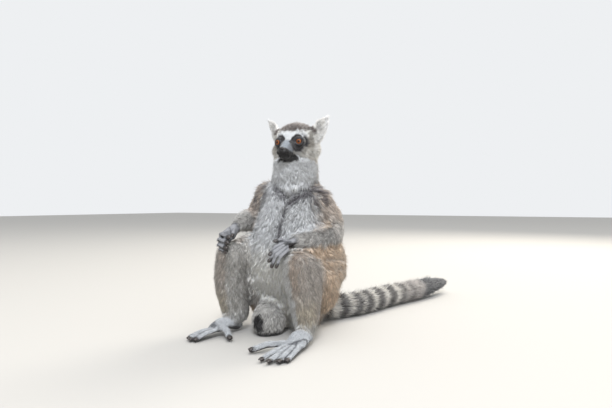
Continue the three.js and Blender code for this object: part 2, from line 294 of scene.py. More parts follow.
DIGITS = {
    "hand_left": [
        ((27, -86, 163), (20, -95, 166), (14, -103, 163), 3.8),
        ((22, -94, 159), (15, -107, 154), (12, -116, 143), 3.7),
        ((26, -98, 155), (17, -112, 147), (13, -120, 133), 3.8),
        ((31, -101, 151), (23, -116, 141), (19, -121, 125), 3.8),
        ((37, -102, 149), (31, -116, 139), (28, -121, 125), 3.6)],
    "hand_right": [
        ((-85, -82, 182), (-78, -96, 177), (-74, -105, 169), 4.0),
        ((-90, -100, 176), (-92, -114, 172), (-76, -112, 167), 4.2),
        ((-92, -103, 167), (-94, -117, 163), (-77, -115, 158), 4.4),
        ((-93, -104, 159), (-95, -116, 154), (-79, -116, 149), 4.4),
        ((-93, -102, 151), (-95, -112, 146), (-82, -113, 142), 4.0)],
    "foot_left": [
        ((59, -143, 11), (38, -164, 11), (23, -183, 5.5), 5.7),
        ((65, -156, 10), (63, -186, 9), (61, -211, 4.5), 4.6),
        ((73, -158, 10), (75, -188, 9), (75, -213, 4.5), 4.7),
        ((80, -156, 10), (85, -183, 9), (87, -205, 4.5), 4.7),
        ((86, -151, 9), (92, -175, 8), (94, -195, 4.3), 4.3)],
    "foot_right": [
        ((-77, -124, 15), (-60, -136, 13), (-47, -146, 5.5), 5.6),
        ((-83, -137, 13), (-87, -158, 11), (-91, -177, 4.5), 4.5),
        ((-89, -139, 13), (-95, -160, 11), (-100, -179, 4.5), 4.6),
        ((-95, -137, 12), (-102, -157, 10), (-108, -175, 4.5), 4.6),
        ((-100, -132, 11), (-108, -149, 9), (-114, -165, 4.3), 4.2)],
}


def in_head(points):
    """Points as forward, out and up from the middle of the braincase."""
    d = points - HEAD
    return np.stack([d @ FORWARD, d @ OUT, d @ UP], -1)


def from_head(forward, out, up):
    return HEAD + forward * FORWARD + out * OUT + up * UP


def by_part(table):
    """The table's value for each name in PARTS, from the first key that the name begins with."""
    return np.array([next(v for start, v in table.items() if name.startswith(start)) for name in PARTS])


def is_part(part, *starts):
    """True where the part's name begins with one of these."""
    found = np.array([name.startswith(starts) for name in PARTS])
    return found[part]


print("landmarks:", len(LIMBS), "limb parts and", sum(len(d) for d in DIGITS.values()), "digits")

# %% [markdown]
# The coat is deepest on the tail, back and rump, and thins towards the muzzle, hands and feet. The skin lies
# inside the solids by that depth. Depths change step by step between the parts, so they are blended over the
# skin before it is drawn in, in four small moves along its own normals.

# %% How deep the coat is
DEPTH = {"trunk": 9, "neck": 7.5, "upper_arm": 6.5, "forearm": 4.5, "thigh": 7.5, "shin": 5, "perineum": 4,
         "foot": 1.3, "hand": 0.8, "tail": 12, "head": 6, "ear": 0.9, "nose": 0.4}
THINNEST = {"face": 1.0, "forearm": 2.2, "shin": 2.6, "tail": 5.0}
SMOOTHING = {"trunk": 0.5, "neck": 0.4, "upper_arm": 0.3, "forearm": 0.2, "thigh": 0.35, "shin": 0.2,
             "perineum": 0.3, "foot": 0.02, "hand": 0.02, "tail": 0.3, "head": 0.12, "ear": 0.02, "nose": 0.03}
TAIL_LENGTH = sum(math.dist(a, b) for a, b in zip(TAIL[:-1], TAIL[1:]))


def face_mask(h):
    """1 on the face's bare and short-haired front, 0 on the cheeks, crown and throat."""
    front = ramp(h[:, 0], 13, 24) * ramp(np.abs(h[:, 1]), 34, 26)
    return front * ramp(h[:, 2], 22, 12)


def coat_depth(part, points):
    """The depth at each point, less on the face, down the forearms and shins, and at the tail's tip."""
    depth = by_part(DEPTH)[part]
    head = is_part(part, "head")
    depth[head] += (THINNEST["face"] - depth[head]) * face_mask(in_head(points[head]))
    for name, path in LIMBS.items():
        low = THINNEST.get(name.rsplit("_", 1)[0])
        if low:
            mine = is_part(part, name)
            far = along_path(points[mine], path)[1] / math.dist(*path)
            depth[mine] += (low - depth[mine]) * ramp(far, 0.45, 1)
    tail = is_part(part, "tail")
    far = along_path(points[tail], TAIL)[1]
    depth[tail] += (THINNEST["tail"] - depth[tail]) * ramp(far, TAIL_LENGTH - 75, TAIL_LENGTH - 10)
    return depth


def drawn_in(points, tris, edges, depth, steps=4):
    """The points moved in by the depth, a part of it at a time, with a little smoothing between."""
    for _ in range(steps):
        normals = unit(spread(vertex_normals(points, tris), edges, 4))
        points = points - normals * depth[:, None] / steps
        points = spread(points, edges, 1, 0.3 * np.minimum(depth / 5, 1))
    return points


even = spread(by_part(SMOOTHING)[body_part], body_edges, 6)
body_points = spread(body_points, body_edges, 40, even)
depth = spread(coat_depth(body_part, body_points), body_edges, 30)
body_points = drawn_in(body_points, body_tris, body_edges, depth)
print("coat depth from", round(depth.min(), 1), "to", round(depth.max(), 1), "mm")

# %% [markdown]
# The hands are drawn in by half a millimetre. They join at the wrists, where a ball fills the gap that the
# forearm has left, and a second weld makes the one skin.

# %% One skin, with the hands
HAND_SHRINK = -0.5
WRISTS = [(40, -71, 164), (-89, -66, 187)]
WRIST_BALL = 9.0
hands = [grown(n, HAND_SHRINK) for n in HANDS]
ball = bmesh.new()
bmesh.ops.create_icosphere(ball, subdivisions=3, radius=WRIST_BALL * MM)
ball_mesh = bpy.data.meshes.new("ball")
ball.to_mesh(ball_mesh)
wrists = [(points_of(ball_mesh) + np.array(p, float), triangles_of(ball_mesh)) for p in WRISTS]
welded_skin = welded([(body_points, body_tris), *hands, *wrists], VOXEL)
print("welded skin:", len(welded_skin.vertices), "points,", len(triangles_of(welded_skin)), "triangles")


# %% [markdown]
# Under the coat the skin needs few faces, but the face, hands and feet show it. The weld is therefore thinned
# where the coat is deep, and the head's front is divided again, twice round the eyes and the nose.

# %% Fewer faces under the coat, more on the face
KEPT_SHARE = 0.5
FINE = {"hand": 1, "foot": 1, "head": 1, "nose": 1, "ear": 1, "perineum": 0.5, "forearm": 0.3, "": 0.0}
STEPS, PULL_TO_COARSE = 10, 8


def thinned(mesh, share):
    """The mesh with that share of its faces, most of them kept on the parts that FINE names."""
    fine = spread(by_part(FINE)[nearest_part(points_of(mesh))], edges_of(mesh), 4)
    o = make_object("thin", mesh)
    group = o.vertex_groups.new(name="coarse")
    for step in range(STEPS + 1):
        index = np.flatnonzero(np.round(fine * STEPS) == step)
        group.add(index.tolist(), 1 - step / STEPS, "REPLACE")
    thin = o.modifiers.new("thin", "DECIMATE")
    thin.ratio, thin.vertex_group, thin.vertex_group_factor = share, "coarse", PULL_TO_COARSE
    made = bpy.data.meshes.new_from_object(o.evaluated_get(bpy.context.evaluated_depsgraph_get()))
    bpy.data.objects.remove(o)
    return made


def divided(mesh, chosen):
    """The mesh with the edges divided whose both ends are chosen, given as true or false for each point."""
    bm = bmesh.new()
    bm.from_mesh(mesh)
    bm.verts.ensure_lookup_table()
    edges = [e for e in bm.edges if chosen[e.verts[0].index] and chosen[e.verts[1].index]]
    bmesh.ops.subdivide_edges(bm, edges=edges, cuts=1, use_grid_fill=True)
    bmesh.ops.triangulate(bm, faces=[f for f in bm.faces if len(f.verts) > 4])
    bm.to_mesh(mesh)
    bm.free()
    return mesh


skin_mesh = thinned(welded_skin, KEPT_SHARE)
forward, out, up = in_head(points_of(skin_mesh)).T
skin_mesh = divided(skin_mesh, (forward > 12) & (np.abs(out) < 32) & (up > -40) & (up < 14))
h = in_head(points_of(skin_mesh))
round_eye = np.minimum(*[np.linalg.norm(h - (29, s * 20, -4.5), axis=1) for s in (-1, 1)]) < 10
round_nose = (h[:, 0] > 50) & (h[:, 2] > -34)
skin_mesh = divided(skin_mesh, round_eye | round_nose)
skin_points, skin_tris, skin_edges = points_of(skin_mesh), triangles_of(skin_mesh), edges_of(skin_mesh)
skin_part = nearest_part(skin_points)
print("skin:", len(skin_points), "points,", len(skin_tris), "triangles")


# %% [markdown]
# The body is touched up first. The tail's skin narrows inside its brush, the joints are smoothed, the nape is
# filled, and the ears, whose tufts reach past them, are cut down.

# %% Tail, joints, nape and ears
BRUSH, BRUSH_NARROW = 95, 0.42
JOINTS = [LIMBS[f"{limb}_{side}"][0] for limb in ("foot", "hand", "forearm") for side in ("left", "right")]
NAPE = ((235, 262, 285), (292, 312, 330))
EAR_CUT, EAR_CUT_FROM = 0.2, 22


def point_on(path, far):
    """The points at those distances along a path of straight pieces."""
    path = np.array(path, float)
    at = np.concatenate([[0], np.cumsum(np.linalg.norm(np.diff(path, axis=0), axis=1))])
    return np.stack([np.interp(far, at, path[:, k]) for k in range(3)], 1)


def shaped_limbs(points):
    tail = is_part(skin_part, "tail")
    far = along_path(points[tail], TAIL)[1]
    axis = point_on(TAIL, far)
    narrowed = 1 - BRUSH_NARROW * ramp(far, TAIL_LENGTH - BRUSH, TAIL_LENGTH - 5)
    points[tail] = axis + (points[tail] - axis) * narrowed[:, None]
    at_joint = np.min([np.linalg.norm(points - np.array(p), axis=1) for p in JOINTS], 0)
    points = spread(points, skin_edges, 36, 0.5 * ramp(at_joint, 30, 14))
    behind = ramp(points[:, 1], -12, 8)
    for low, middle, high in NAPE:
        level = ramp(points[:, 2], low, middle) * ramp(points[:, 2], high, middle)
        points = spread(points, skin_edges, 70, 0.5 * level * behind)
    ear = is_part(skin_part, "ear")
    height = in_head(points[ear])[:, 2]
    points[ear] -= EAR_CUT * np.maximum(0, height - EAR_CUT_FROM)[:, None] * UP
    return points


skin_points = shaped_limbs(skin_points)
print("tail, joints, nape and ears shaped")

# %% [markdown]
# The face is modelled by moving the skin's points. The muzzle comes first: the chin falls back below the nose,
# the bridge narrows, and the nose pad, the lips and the whiskers' cheeks stand out a little.

# %% The muzzle
def shape_muzzle(points):
    """The muzzle's points moved by f, o and u: millimetres forward, out and up on the head."""
    f, o, u = in_head(points).T
    on_head = ramp(u, -50, -40)
    back = -0.5 * np.maximum(0, -25 - u) * ramp(f, 40, 56)
    narrow = 0.26 * ramp(f, 32, 48) * ramp(u, -25, -13)
    pad = np.exp(-(((o / 6.4) ** 2 + ((u + 20) / 5.0) ** 2) ** 2)) * ramp(f, 52, 58)
    cheek = 1.0 * np.exp(-(((np.abs(o) - 9) / 5) ** 2 + ((u + 25) / 4) ** 2)) * ramp(f, 44, 52)
    lip = np.exp(-(((u + 33) / 2.6) ** 2)) * ramp(f, 36, 46) * 0.8
    moved = (back + 2.2 * pad + lip * 0.5)[:, None] * FORWARD
    moved = moved + (-narrow * o + np.sign(o) * (cheek + lip) * ramp(np.abs(o), 2, 6))[:, None] * OUT
    return points + moved * on_head[:, None]


# %% [markdown]
# Each eyeball is a sphere. A lid is the skin pushed out to lie on it, and inside the opening between the lids the
# skin is sunk behind it. Every place round the eye is given by two angles from the gaze, aside and up.

# %% The lids
GAZE_OUT = math.radians(13)
LID = {"thick": 0.9, "wide": 42.0, "upper": 29.0, "lower": 33.0, "blend": 2.2, "sunk": 1.6, "side": 115,
       "reach": 12, "end": 10}


def eye_centre(side):
    return from_head(EYE["forward"], side * EYE["out"], EYE["up"])


def gaze(side):
    return np.array((math.cos(GAZE_OUT), side * math.sin(GAZE_OUT), 0.0))


def eye_angles(h, side):
    """Each point's distance from the eyeball's middle, and its angles aside and up from the gaze, in degrees."""
    v = h - np.array((EYE["forward"], side * EYE["out"], EYE["up"]))
    r = np.linalg.norm(v, axis=1)
    g = gaze(side)
    aside = np.array((-g[1], g[0], 0)) * side
    u = v / np.maximum(r, 1e-6)[:, None]
    return r, np.degrees(np.arctan2(u @ aside, u @ g)), np.degrees(np.arcsin(np.clip(u[:, 2], -1, 1)))


def opening(a, b):
    """Below 1 inside the opening between the lids."""
    tall = np.where(b > 0, LID["upper"], LID["lower"])
    return np.sqrt((a / LID["wide"]) ** 2 + (b / tall) ** 2)


def open_eyes(points):
    """The skin laid on both eyeballs, and sunk behind them inside the openings."""
    ball, k = EYE["radius"] + LID["thick"], LID["blend"]
    for side in (-1, 1):
        r, a, b = eye_angles(in_head(points), side)
        on_ball = k * np.log(np.exp((np.minimum(r, ball + LID["reach"]) - ball) / k) + 1) + ball
        lid = np.where(r > ball + LID["reach"], r, on_ball)
        sunk = EYE["radius"] - LID["sunk"]
        new = np.where(np.abs(a) < LID["side"], lid + (sunk - lid) * ramp(opening(a, b), 1.08, 0.94), r)
        new = np.where(r < ball + LID["end"], new, r)
        centre = eye_centre(side)
        points = centre + (points - centre) * (new / np.maximum(r, 1e-6))[:, None]
    return points


skin_points = open_eyes(shape_muzzle(skin_points))
print("muzzle shaped, eyes open")

# %% [markdown]
# The mouth, the nostrils and the gaps between the toes are hollows along short lines. On the body, the loose skin
# folds in a collar below the neck, parts along the breastbone and creases on the flank. The lines are given near
# the skin and are then moved onto it.

# %% Creases, folds and toe grooves
CREASES = {  # each point forward, out and up on the head, then how deep and wide the line is
    "mouth": ([(60, 0, -28.5), (57, 6, -29.2), (52.5, 9.5, -30.2), (44, 12.5, -31), (34, 16, -30)], 1.7, 1.0),
    "philtrum": ([(65, 0, -22), (61, 0, -28.5)], 0.8, 0.7),
    "nostril": ([(66, 2.3, -20.4), (65, 3.8, -21.6), (61, 6.2, -20.6)], 2.6, 1.0),
    "pad_edge": ([(62, 3.5, -15.2), (62, 6.6, -17), (61, 7.8, -21), (61.5, 5.2, -25), (62.5, 0, -26.4)],
                 0.9, 0.8),
}
COLLAR = [
    ([(-34, -42, 262), (-22, -48, 254), (-8, -54, 247), (6, -53.5, 243), (18, -48, 247), (34, -33, 254),
      (41, -9, 265)], 8.0, 4.5),
    ([(6, -53, 243), (5, -57, 231), (2, -62, 217), (1, -67, 203), (0.5, -72, 190), (1, -77, 176)], 7.0, 4.5),
    ([(47, -4, 262), (38, -28, 252), (25, -44, 240), (12, -54, 231)], 6.0, 3.5),
]
FLANK_FOLDS = [
    ([(69, -46, 136), (79, -18, 133), (76, 33, 126)], 2.2, 4.0),
    ([(78, -48, 121), (81, -17, 114), (77, 31, 108)], 2.2, 4.0),
]
TOE_GROOVE = (1.5, 1.6)


def toe_grooves(name):
    """Lines over the top of a foot or hand, from between two digits back towards the wrist or ankle."""
    ankle = np.array(LIMBS[name][0], float)
    lines = []
    for (a, *_), (b, *_) in zip(DIGITS[name][1:-1], DIGITS[name][2:]):
        between = (np.array(a, float) + b) / 2
        lines.append([between + (between - ankle) * 0.1, between + (ankle - between) * 0.5])
    return lines


def on_skin(points, tris, path, step=5.0):
    """The path in short pieces, each point of it moved to the nearest place on the skin."""
    tree = tree_of(points, tris)
    made = []
    for a, b in zip(path[:-1], path[1:]):
        a, b = np.array(a, float), np.array(b, float)
        for t in np.arange(0, 1, step / np.linalg.norm(b - a)):
            made.append(np.array(tree.find_nearest(Vector(a + (b - a) * t))[0]))
    made.append(np.array(tree.find_nearest(Vector(path[-1]))[0]))
    return made


def groove(points, path, deep, wide):
    """The skin's points sunk along a path on it."""
    away = along_path(points, path)[0]
    return points - vertex_normals(points, skin_tris) * (deep * np.exp(-((away / wide) ** 2)))[:, None]


for path, deep, wide in CREASES.values():
    for side in (-1, 1):
        line = [from_head(f, o * side, u) for f, o, u in path]
        if side > 0 or path[-1][1]:
            skin_points = groove(skin_points, on_skin(skin_points, skin_tris, line, 1.0), deep, wide)
for name in DIGITS:
    for line in toe_grooves(name):
        skin_points = groove(skin_points, line, *TOE_GROOVE)
COLLAR, FLANK_FOLDS = [[(on_skin(skin_points, skin_tris, path), deep, wide) for path, deep, wide in folds]
                       for folds in (COLLAR, FLANK_FOLDS)]
for path, deep, wide in COLLAR + FLANK_FOLDS:
    skin_points = groove(skin_points, path, deep, wide)
print(len(CREASES), "creases and", len(COLLAR + FLANK_FOLDS), "folds")

# %% [markdown]
# The skin is finished: it is kept off the floor, and stands for every solid but the eyes.

# %% The skin's own mesh
ABOVE_FLOOR = 0.2
skin_points[:, 2] = np.maximum(skin_points[:, 2], ABOVE_FLOOR)
skin_mesh.vertices.foreach_set("co", np.ascontiguousarray(skin_points * MM, np.float32).ravel())
skin_mesh.update()
skin_normals = vertex_normals(skin_points, skin_tris)
skin = make_object("skin", skin_mesh)
skin_mesh.polygons.foreach_set("use_smooth", np.ones(len(skin_mesh.polygons), bool))
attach(skin, "root")
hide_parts(*flesh)
print("the skin stands for", len(flesh), "solids")

# %% [markdown]
# The markings are functions of place, used for the skin and for every tuft, so both carry the same pattern. Each
# part has a base colour, which is blended over the skin, and paints are laid on it by place.

# %% Paints
# Some paints stand in for light: the throat's grey-beige is painted shade, the dark streak paint is also painted
# shade along the creases, the ear hollow's dark is partly painted shade, the groove grey is also painted shade
# between the digits, the underside paint is also painted shade on the right leg's inner side, and the bridge's
# blue-grey is partly a painted highlight.
PAINT = {
    "white": "eceae6", "brow": "d6d9db", "cheek": "e2e0db", "crown": "5e5550", "temple": "827c72", "nape": "9a9189",
    "black": "1a1819", "patch": "201e21", "bridge_grey_and_highlight": "8f969d", "chest": "d4d6d8", "belly": "ebe9e0",
    "back": "aca298", "flank": "c4aa8e", "shoulder": "c9bcb1", "locks_and_crease_shade": "4a464c", "arm": "cbc8c4",
    "forearm_underside_and_leg_shade": "d2cfca", "leg": "c2bbb4", "rust": "b79d84", "shin": "cfc4b3", "inner": "e6e6e3", "foot": "cdd0d3",
    "hand": "9c9da1", "pad": "242224", "ring": "dcd8d1", "dark_ring": "252120", "tip": "2d3036", "concha_skin_and_shade": "45423f",
    "groove": "55575c", "throat": "cbc6bd", "mound": "bab8b4", "brush": "8d8684", "cheek_grizzle": "8f897f",
}
PAINT = {name: linear(code) for name, code in PAINT.items()}
BASE = {"trunk": "back", "neck": "nape", "upper_arm": "shoulder", "forearm": "arm", "hand": "hand", "thigh": "leg",
        "shin": "leg", "foot": "foot", "perineum": "mound", "tail": "ring", "head": "cheek", "ear": "white",
        "nose": "black"}


def drift(points, size, seed):
    """A smooth, slow variation about 0, of about 1 either way, with features of that size in millimetres."""
    own = np.random.default_rng(seed)
    waves = unit(own.normal(size=(7, 3))) * own.uniform(0.6, 1.6, (7, 1)) * 2 * np.pi / size
    return np.sin(points @ waves.T + own.uniform(0, 6.3, 7)).sum(1) / math.sqrt(3.5)


def laid(colour, name, amount):
    """The colours with a paint laid on, by an amount from 0 to 1 for each point."""
    return colour + (PAINT[name] - colour) * np.asarray(amount)[:, None]


def trunk_turn(points):
    """Degrees round the trunk from its front, positive to the animal's left."""
    return np.degrees(np.arctan2(points[:, 0] + 6, -(points[:, 1] + 3)))


print(len(PAINT), "paints")

# %% [markdown]
# The trunk is pale in front and brown on the flanks, with dark streaks of painted shade over the shoulders, along
# the collar's creases. Low on the animal's left the pale front is narrowed, so that the browner coat stands in for
# the shade between forearm and thigh. The arms turn grey below, and the legs are grey outside with white on the
# inside; on the right leg the inside is a greyer paint, painted shade. In these functions a ramp's ends are places
# in millimetres, or steepness where it takes a normal, and rough makes the edges of the paints uneven.

# %% Markings of the trunk, arms and legs
def trunk_marks(colour, points, normals, part, rough):
    x, y, z = points.T
    trunk, upper_arm, neck, forearm = [is_part(part, name).astype(float)
                                       for name in ("trunk", "upper_arm", "neck", "forearm")]
    turn = trunk_turn(points)
    # painted shade: low on the animal's left the pale front is narrowed, and the browner coat stands for the shade
    # between forearm and thigh
    shade_narrowing = 32 * ramp(z, 190, 155) * (x > 0)
    front = ramp(np.abs(turn) + rough * 2 + shade_narrowing, 78, 52)
    flank = ramp(z + rough * 3, 230, 165) * ramp(np.abs(turn), 150, 100)
    colour = laid(colour, "flank", trunk * flank * 0.7)
    colour = laid(colour, "chest", trunk * front)
    colour = laid(colour, "belly", trunk * front * ramp(z + rough * 3, 170, 110))
    shoulder = upper_arm + trunk * ramp(np.abs(turn), 40, 60)
    # painted shade: a broken dark band at the collar's height over the fronts of the shoulders, along its creases
    shoulder_crease_shade = np.exp(-(((z - 243) / 22) ** 2)) * ramp(y, 5, -25) * ramp(np.abs(x), 26, 42)
    broken = np.clip(0.5 + 0.6 * drift(points * (1, 1, 0.35), 7, 8), 0, 1)
    colour = laid(colour, "locks_and_crease_shade", np.clip(shoulder * shoulder_crease_shade, 0, 1) * broken)
    locks = drift(points * (1, 1, 0.22), 7, 9)
    # the same dark paint, here as darker locks down the chest
    colour = laid(colour, "locks_and_crease_shade", trunk * front * np.clip(0.16 * locks + 0.02, 0, 0.3) * ramp(z, 120, 190))
    colour = laid(colour, "arm", upper_arm * ramp(z + rough * 2, 212, 184) * 0.9)
    colour = laid(colour, "chest", neck * ramp(-normals[:, 1] + 0.05 * rough, -0.65, -0.1))
    return laid(colour, "forearm_underside_and_leg_shade", forearm * ramp(-normals[:, 2], 0.0, 0.7) * 0.3)


def leg_marks(colour, points, normals, part, rough):
    y = points[:, 1]
    for side, name in ((1, "left"), (-1, "right")):
        thigh, shin = is_part(part, f"thigh_{name}"), is_part(part, f"shin_{name}")
        inward = -side * normals[:, 0]
        low = along_path(points, LIMBS[f"shin_{name}"])[1]
        knee = np.maximum(shin * ramp(low + rough, 60, 24), thigh * ramp(y, -55, -78))
        rust = knee * ramp(inward + 0.07 * rough, -0.85, -0.05) * (0.42 if side > 0 else 0.15)
        pale = (shin | thigh) * ramp(inward + 0.03 * rough, 0.02, 0.34)
        colour = laid(colour, "inner", thigh * ramp(inward + 0.04 * rough, 0.25, 0.75))
        colour = laid(colour, "flank", thigh * ramp(y, -66, -40) * ramp(-inward, 0.0, 0.5) * 0.75)
        colour = laid(colour, "rust", rust)
        colour = laid(colour, "shin", shin * ramp(low + rough, 42, 75) * ramp(-normals[:, 1], -0.2, 0.5))
        # painted shade: on the right leg the inner side gets the greyer underside paint in place of white
        colour = laid(colour, "inner" if side > 0 else "forearm_underside_and_leg_shade", pale * 0.95)
        colour = laid(colour, "inner", shin * ramp(low + rough, 84, 104) * 0.8)
    return colour


# %% [markdown]
# The tail has eight dark rings, which grow softer and paler towards a grey brush with a dark tip. Each ring is
# given by its place along the tail and its width.

# %% Markings of the tail
RINGS = [(20, 24), (58, 24), (92, 22), (123, 26), (163, 30), (209, 30), (252, 26), (291, 20)]
TIP_LENGTH = 126


def tail_marks(colour, points, normals, part, rough):
    tail = is_part(part, "tail").astype(float)
    far = along_path(points, TAIL)[1] + rough * 0.6
    colour = laid(colour, "brush", tail * 0.8 * ramp(far, 218, 288))
    for k, (at, wide) in enumerate(RINGS):
        soft = 1.2 + k * 0.45
        ring = ramp(np.abs(far - at), wide / 2 + soft, wide / 2 - soft)
        colour = laid(colour, "dark_ring", tail * ring * (1 - 0.5 * ramp(at, 205, 300)))
    tip = TAIL_LENGTH - TIP_LENGTH
    return laid(colour, "tip", tail * ramp(far, tip - 8, tip + 12))


# %% [markdown]
# The head is white, with a dark cap, grey cheeks, a black ring round each eye and a black muzzle. Painted shade
# greys the throat under the chin, and the bridge's grey runs on over the muzzle's top as a painted highlight. The
# functions name places as f forward, o out to either side and u up on the head.

# %% Markings of the head
def head_marks(colour, points, normals, part, rough):
    head, neck = is_part(part, "head", "nose").astype(float), is_part(part, "neck").astype(float)
    f, o, u = in_head(points).T
    o = np.abs(o)
    colour = laid(colour, "nape", head * ramp(f, -18, -34) * 0.8)
    # painted shade: a grey-beige on the throat under the chin
    colour = laid(colour, "throat", head * ramp(u, -24, -34) * 0.8)
    colour = laid(colour, "brow", head * ramp(f, 12, 20) * ramp(o, 30, 26) * ramp(u, -4, 3))
    temple = ramp(o + rough * 0.5, 24.5, 29) * ramp(f, 2, 8) * ramp(u, -20, -11) * ramp(o, 38, 34)
    colour = laid(colour, "temple", head * temple * 0.85)
    cheek = ramp(o + rough * 0.5, 17, 23) * ramp(o, 37, 31) * ramp(f, 0, 8) * ramp(u, 6, -4) * ramp(u, -42, -34)
    colour = laid(colour, "cheek_grizzle", head * cheek * (0.4 + 0.2 * drift(points, 3.5, 12)))
    cap_edge = 13.8 - 3.5 * ramp(o, 26, 32)
    cap = ramp(u + rough * 0.6, cap_edge - 1.2, cap_edge + 1.8) * ramp(f, -40, -28)
    colour = laid(colour, "crown", head * cap)
    # the bridge's own grey, which runs on over the muzzle's top as a painted highlight
    bridge_grey_and_highlight = ramp(f, 27, 33) * np.maximum(ramp(o, 9, 6), ramp(f, 37, 40)) * ramp(u, 2, -3) * ramp(u, -30, -25)
    colour = laid(colour, "bridge_grey_and_highlight", head * bridge_grey_and_highlight)
    # a darker grey low on the sides of the face, behind the eyes
    jowl = ramp(f, 17, 27) * ramp(o, 5, 9) * ramp(o, 31, 22) * ramp(u, -37, -26) * ramp(u, -4, -10)
    colour = laid(colour, "groove", head * jowl * 0.62)
    patch = np.hypot((o - 16.5) / 11.8, (u + 5.5) / np.where(u > -5.5, 14.0, 17.2)) + rough * 0.025
    colour = laid(colour, "patch", head * ramp(patch, 1.08, 0.9) * ramp(f, 12, 16) * ramp(f, 40.5, 37.5))
    lip = u + 19.5 - 0.37 * (f - 50) + rough * 0.4
    mouth = ramp(lip, 1.6, -1.6) * ramp(o, 19.5, 16.5) * ramp(f, 20, 27)
    chin = 3.5 * ramp(o, 13, 5)
    lowest = np.maximum(head * ramp(u + chin, -41, -38), neck * ramp(u + chin, -35.5, -33))
    colour = laid(colour, "black", lowest * mouth)
    colour = laid(colour, "black", head * ramp(f + 0.35 * u, 47.5, 51.5) * 0.85)
    return laid(colour, "black", is_part(part, "nose") * 1.0)


def ear_marks(colour, points, normals, part, rough):
    h = in_head(points)
    middle = np.stack([np.full(len(h), -1.0), np.sign(h[:, 1]) * 43, np.full(len(h), 20.0)], 1)
    hollow = np.exp(-1.2 * np.sum(((h - middle) / (8, 7, 12)) ** 2, 1))
    # partly the dark skin of the ear's hollow and partly painted shade in it
    return laid(colour, "concha_skin_and_shade", is_part(part, "ear") * 0.75 * np.clip(hollow * 1.1, 0, 1))


# %% [markdown]
# The soles, the palms and the tips of the digits are black skin, and the gaps between the digits are darkened with
# painted shade. The folds' painted shade is laid on last, over every part.

# %% Markings of the hands and feet, and painted shade in the folds
def digit_marks(colour, points, normals, part, rough):
    """Dark pads, painted shade in the gaps between digits, and the black of the mound's bare patch and lowest part.
    """
    bare = np.linalg.norm((points - (-24, -100, 25)) / (11, 13, 15), axis=1)
    mound = is_part(part, "perineum") * np.maximum(ramp(bare, 1.15, 0.85), ramp(points[:, 2], 14, 8))
    colour = laid(colour, "black", mound)
    for name, digits in DIGITS.items():
        mine = is_part(part, name)
        if not mine.any():
            continue
        at = points[mine]
        tips = np.min([np.linalg.norm(at - np.array(d[2]), axis=1) - d[3] for d in digits], 0)
        split = np.min([along_path(at, line)[0] for line in toe_grooves(name)], 0)
        gaps = np.sort([along_path(at, d[:3])[0] / d[3] for d in digits], 0)
        between = ramp(gaps[1] - gaps[0], 0.55, 0.15) * ramp(gaps[0], 0.6, 0.95)
        # painted shade in the grooves and the gaps between the digits
        own = laid(colour[mine], "groove", np.maximum(ramp(split, 2.0, 0.9), between) * 0.85)
        own = laid(own, "pad", np.maximum(ramp(tips, 2.5, 0.5), ramp(normals[mine, 2], -0.1, -0.4)))
        colour[mine] = own
    return colour


def fold_shade_marks(colour, points, normals, part, rough):
    # painted shade: the legs' darker paint along the flank's creases
    flank = np.min([along_path(points, path)[0] for path, _, _ in FLANK_FOLDS], 0)
    colour = laid(colour, "leg", 0.5 * ramp(flank + rough, 7.0, 2.0))
    # painted shade: a dark line along the collar's folds, softer at its edges
    collar = np.min([along_path(points, path)[0] for path, _, _ in COLLAR], 0)
    colour = laid(colour, "locks_and_crease_shade", 0.4 * ramp(collar + rough, 12.0, 5.0))
    return laid(colour, "locks_and_crease_shade", 0.95 * ramp(collar, 7.5, 4.0))


# %% [markdown]
# One function lays all the markings, region by region. Under the hair the skin is painted darker than the coat,
# as shade in the gaps between the tufts.

# %% All the markings together
MARKS = (trunk_marks, leg_marks, tail_marks, head_marks, ear_marks, digit_marks, fold_shade_marks)
UNDER_HAIR_SHADE = 0.72


def marked(points, normals, base, part):
    """The coat's colour at points on or near the skin."""
    colour, rough = base.copy(), drift(points, 9, 5) * 2.0
    for marks in MARKS:
        colour = marks(colour, points, normals, part, rough)
    return colour


skin_base = spread(by_part({part: PAINT[name] for part, name in BASE.items()})[skin_part], skin_edges, 8)
skin_colour = marked(skin_points, skin_normals, skin_base, skin_part)
print("skin's mean colour", skin_colour.mean(0).round(2))


def store_colour(mesh, colour):
    layer = mesh.color_attributes.new("markings", "FLOAT_COLOR", "POINT")
    layer.data.foreach_set("color", np.c_[colour, np.ones(len(colour))].astype(np.float32).ravel())


# %% [markdown]
# One function adds a node with its settings and its links, and every material below uses it. The skin's material
# is a pebbled grain with the markings' colour, and it shines only where it is naked.

# %% A function for nodes, and the skin's material
def add(tree, kind, links=(), **values):
    """Adds a node. values are its inputs or settings by name, and links are (output socket, input name)."""
    node = tree.nodes.new("ShaderNode" + kind)
    for name, value in values.items():
        socket = node.inputs.get(name.replace("_", " "))
        if socket is not None:
            socket.default_value = value
        else:
            setattr(node, name, value)
    for socket, name in links:
        tree.links.new(socket, node.inputs[name])
    return node


def material(name):
    made = bpy.data.materials.new(name)
    made.use_nodes = True
    made.node_tree.nodes.clear()
    return made, made.node_tree


def finish_material(tree, links, **values):
    shader = add(tree, "BsdfPrincipled", links, **values)
    add(tree, "OutputMaterial", [(shader.outputs["BSDF"], "Surface")])
    return shader


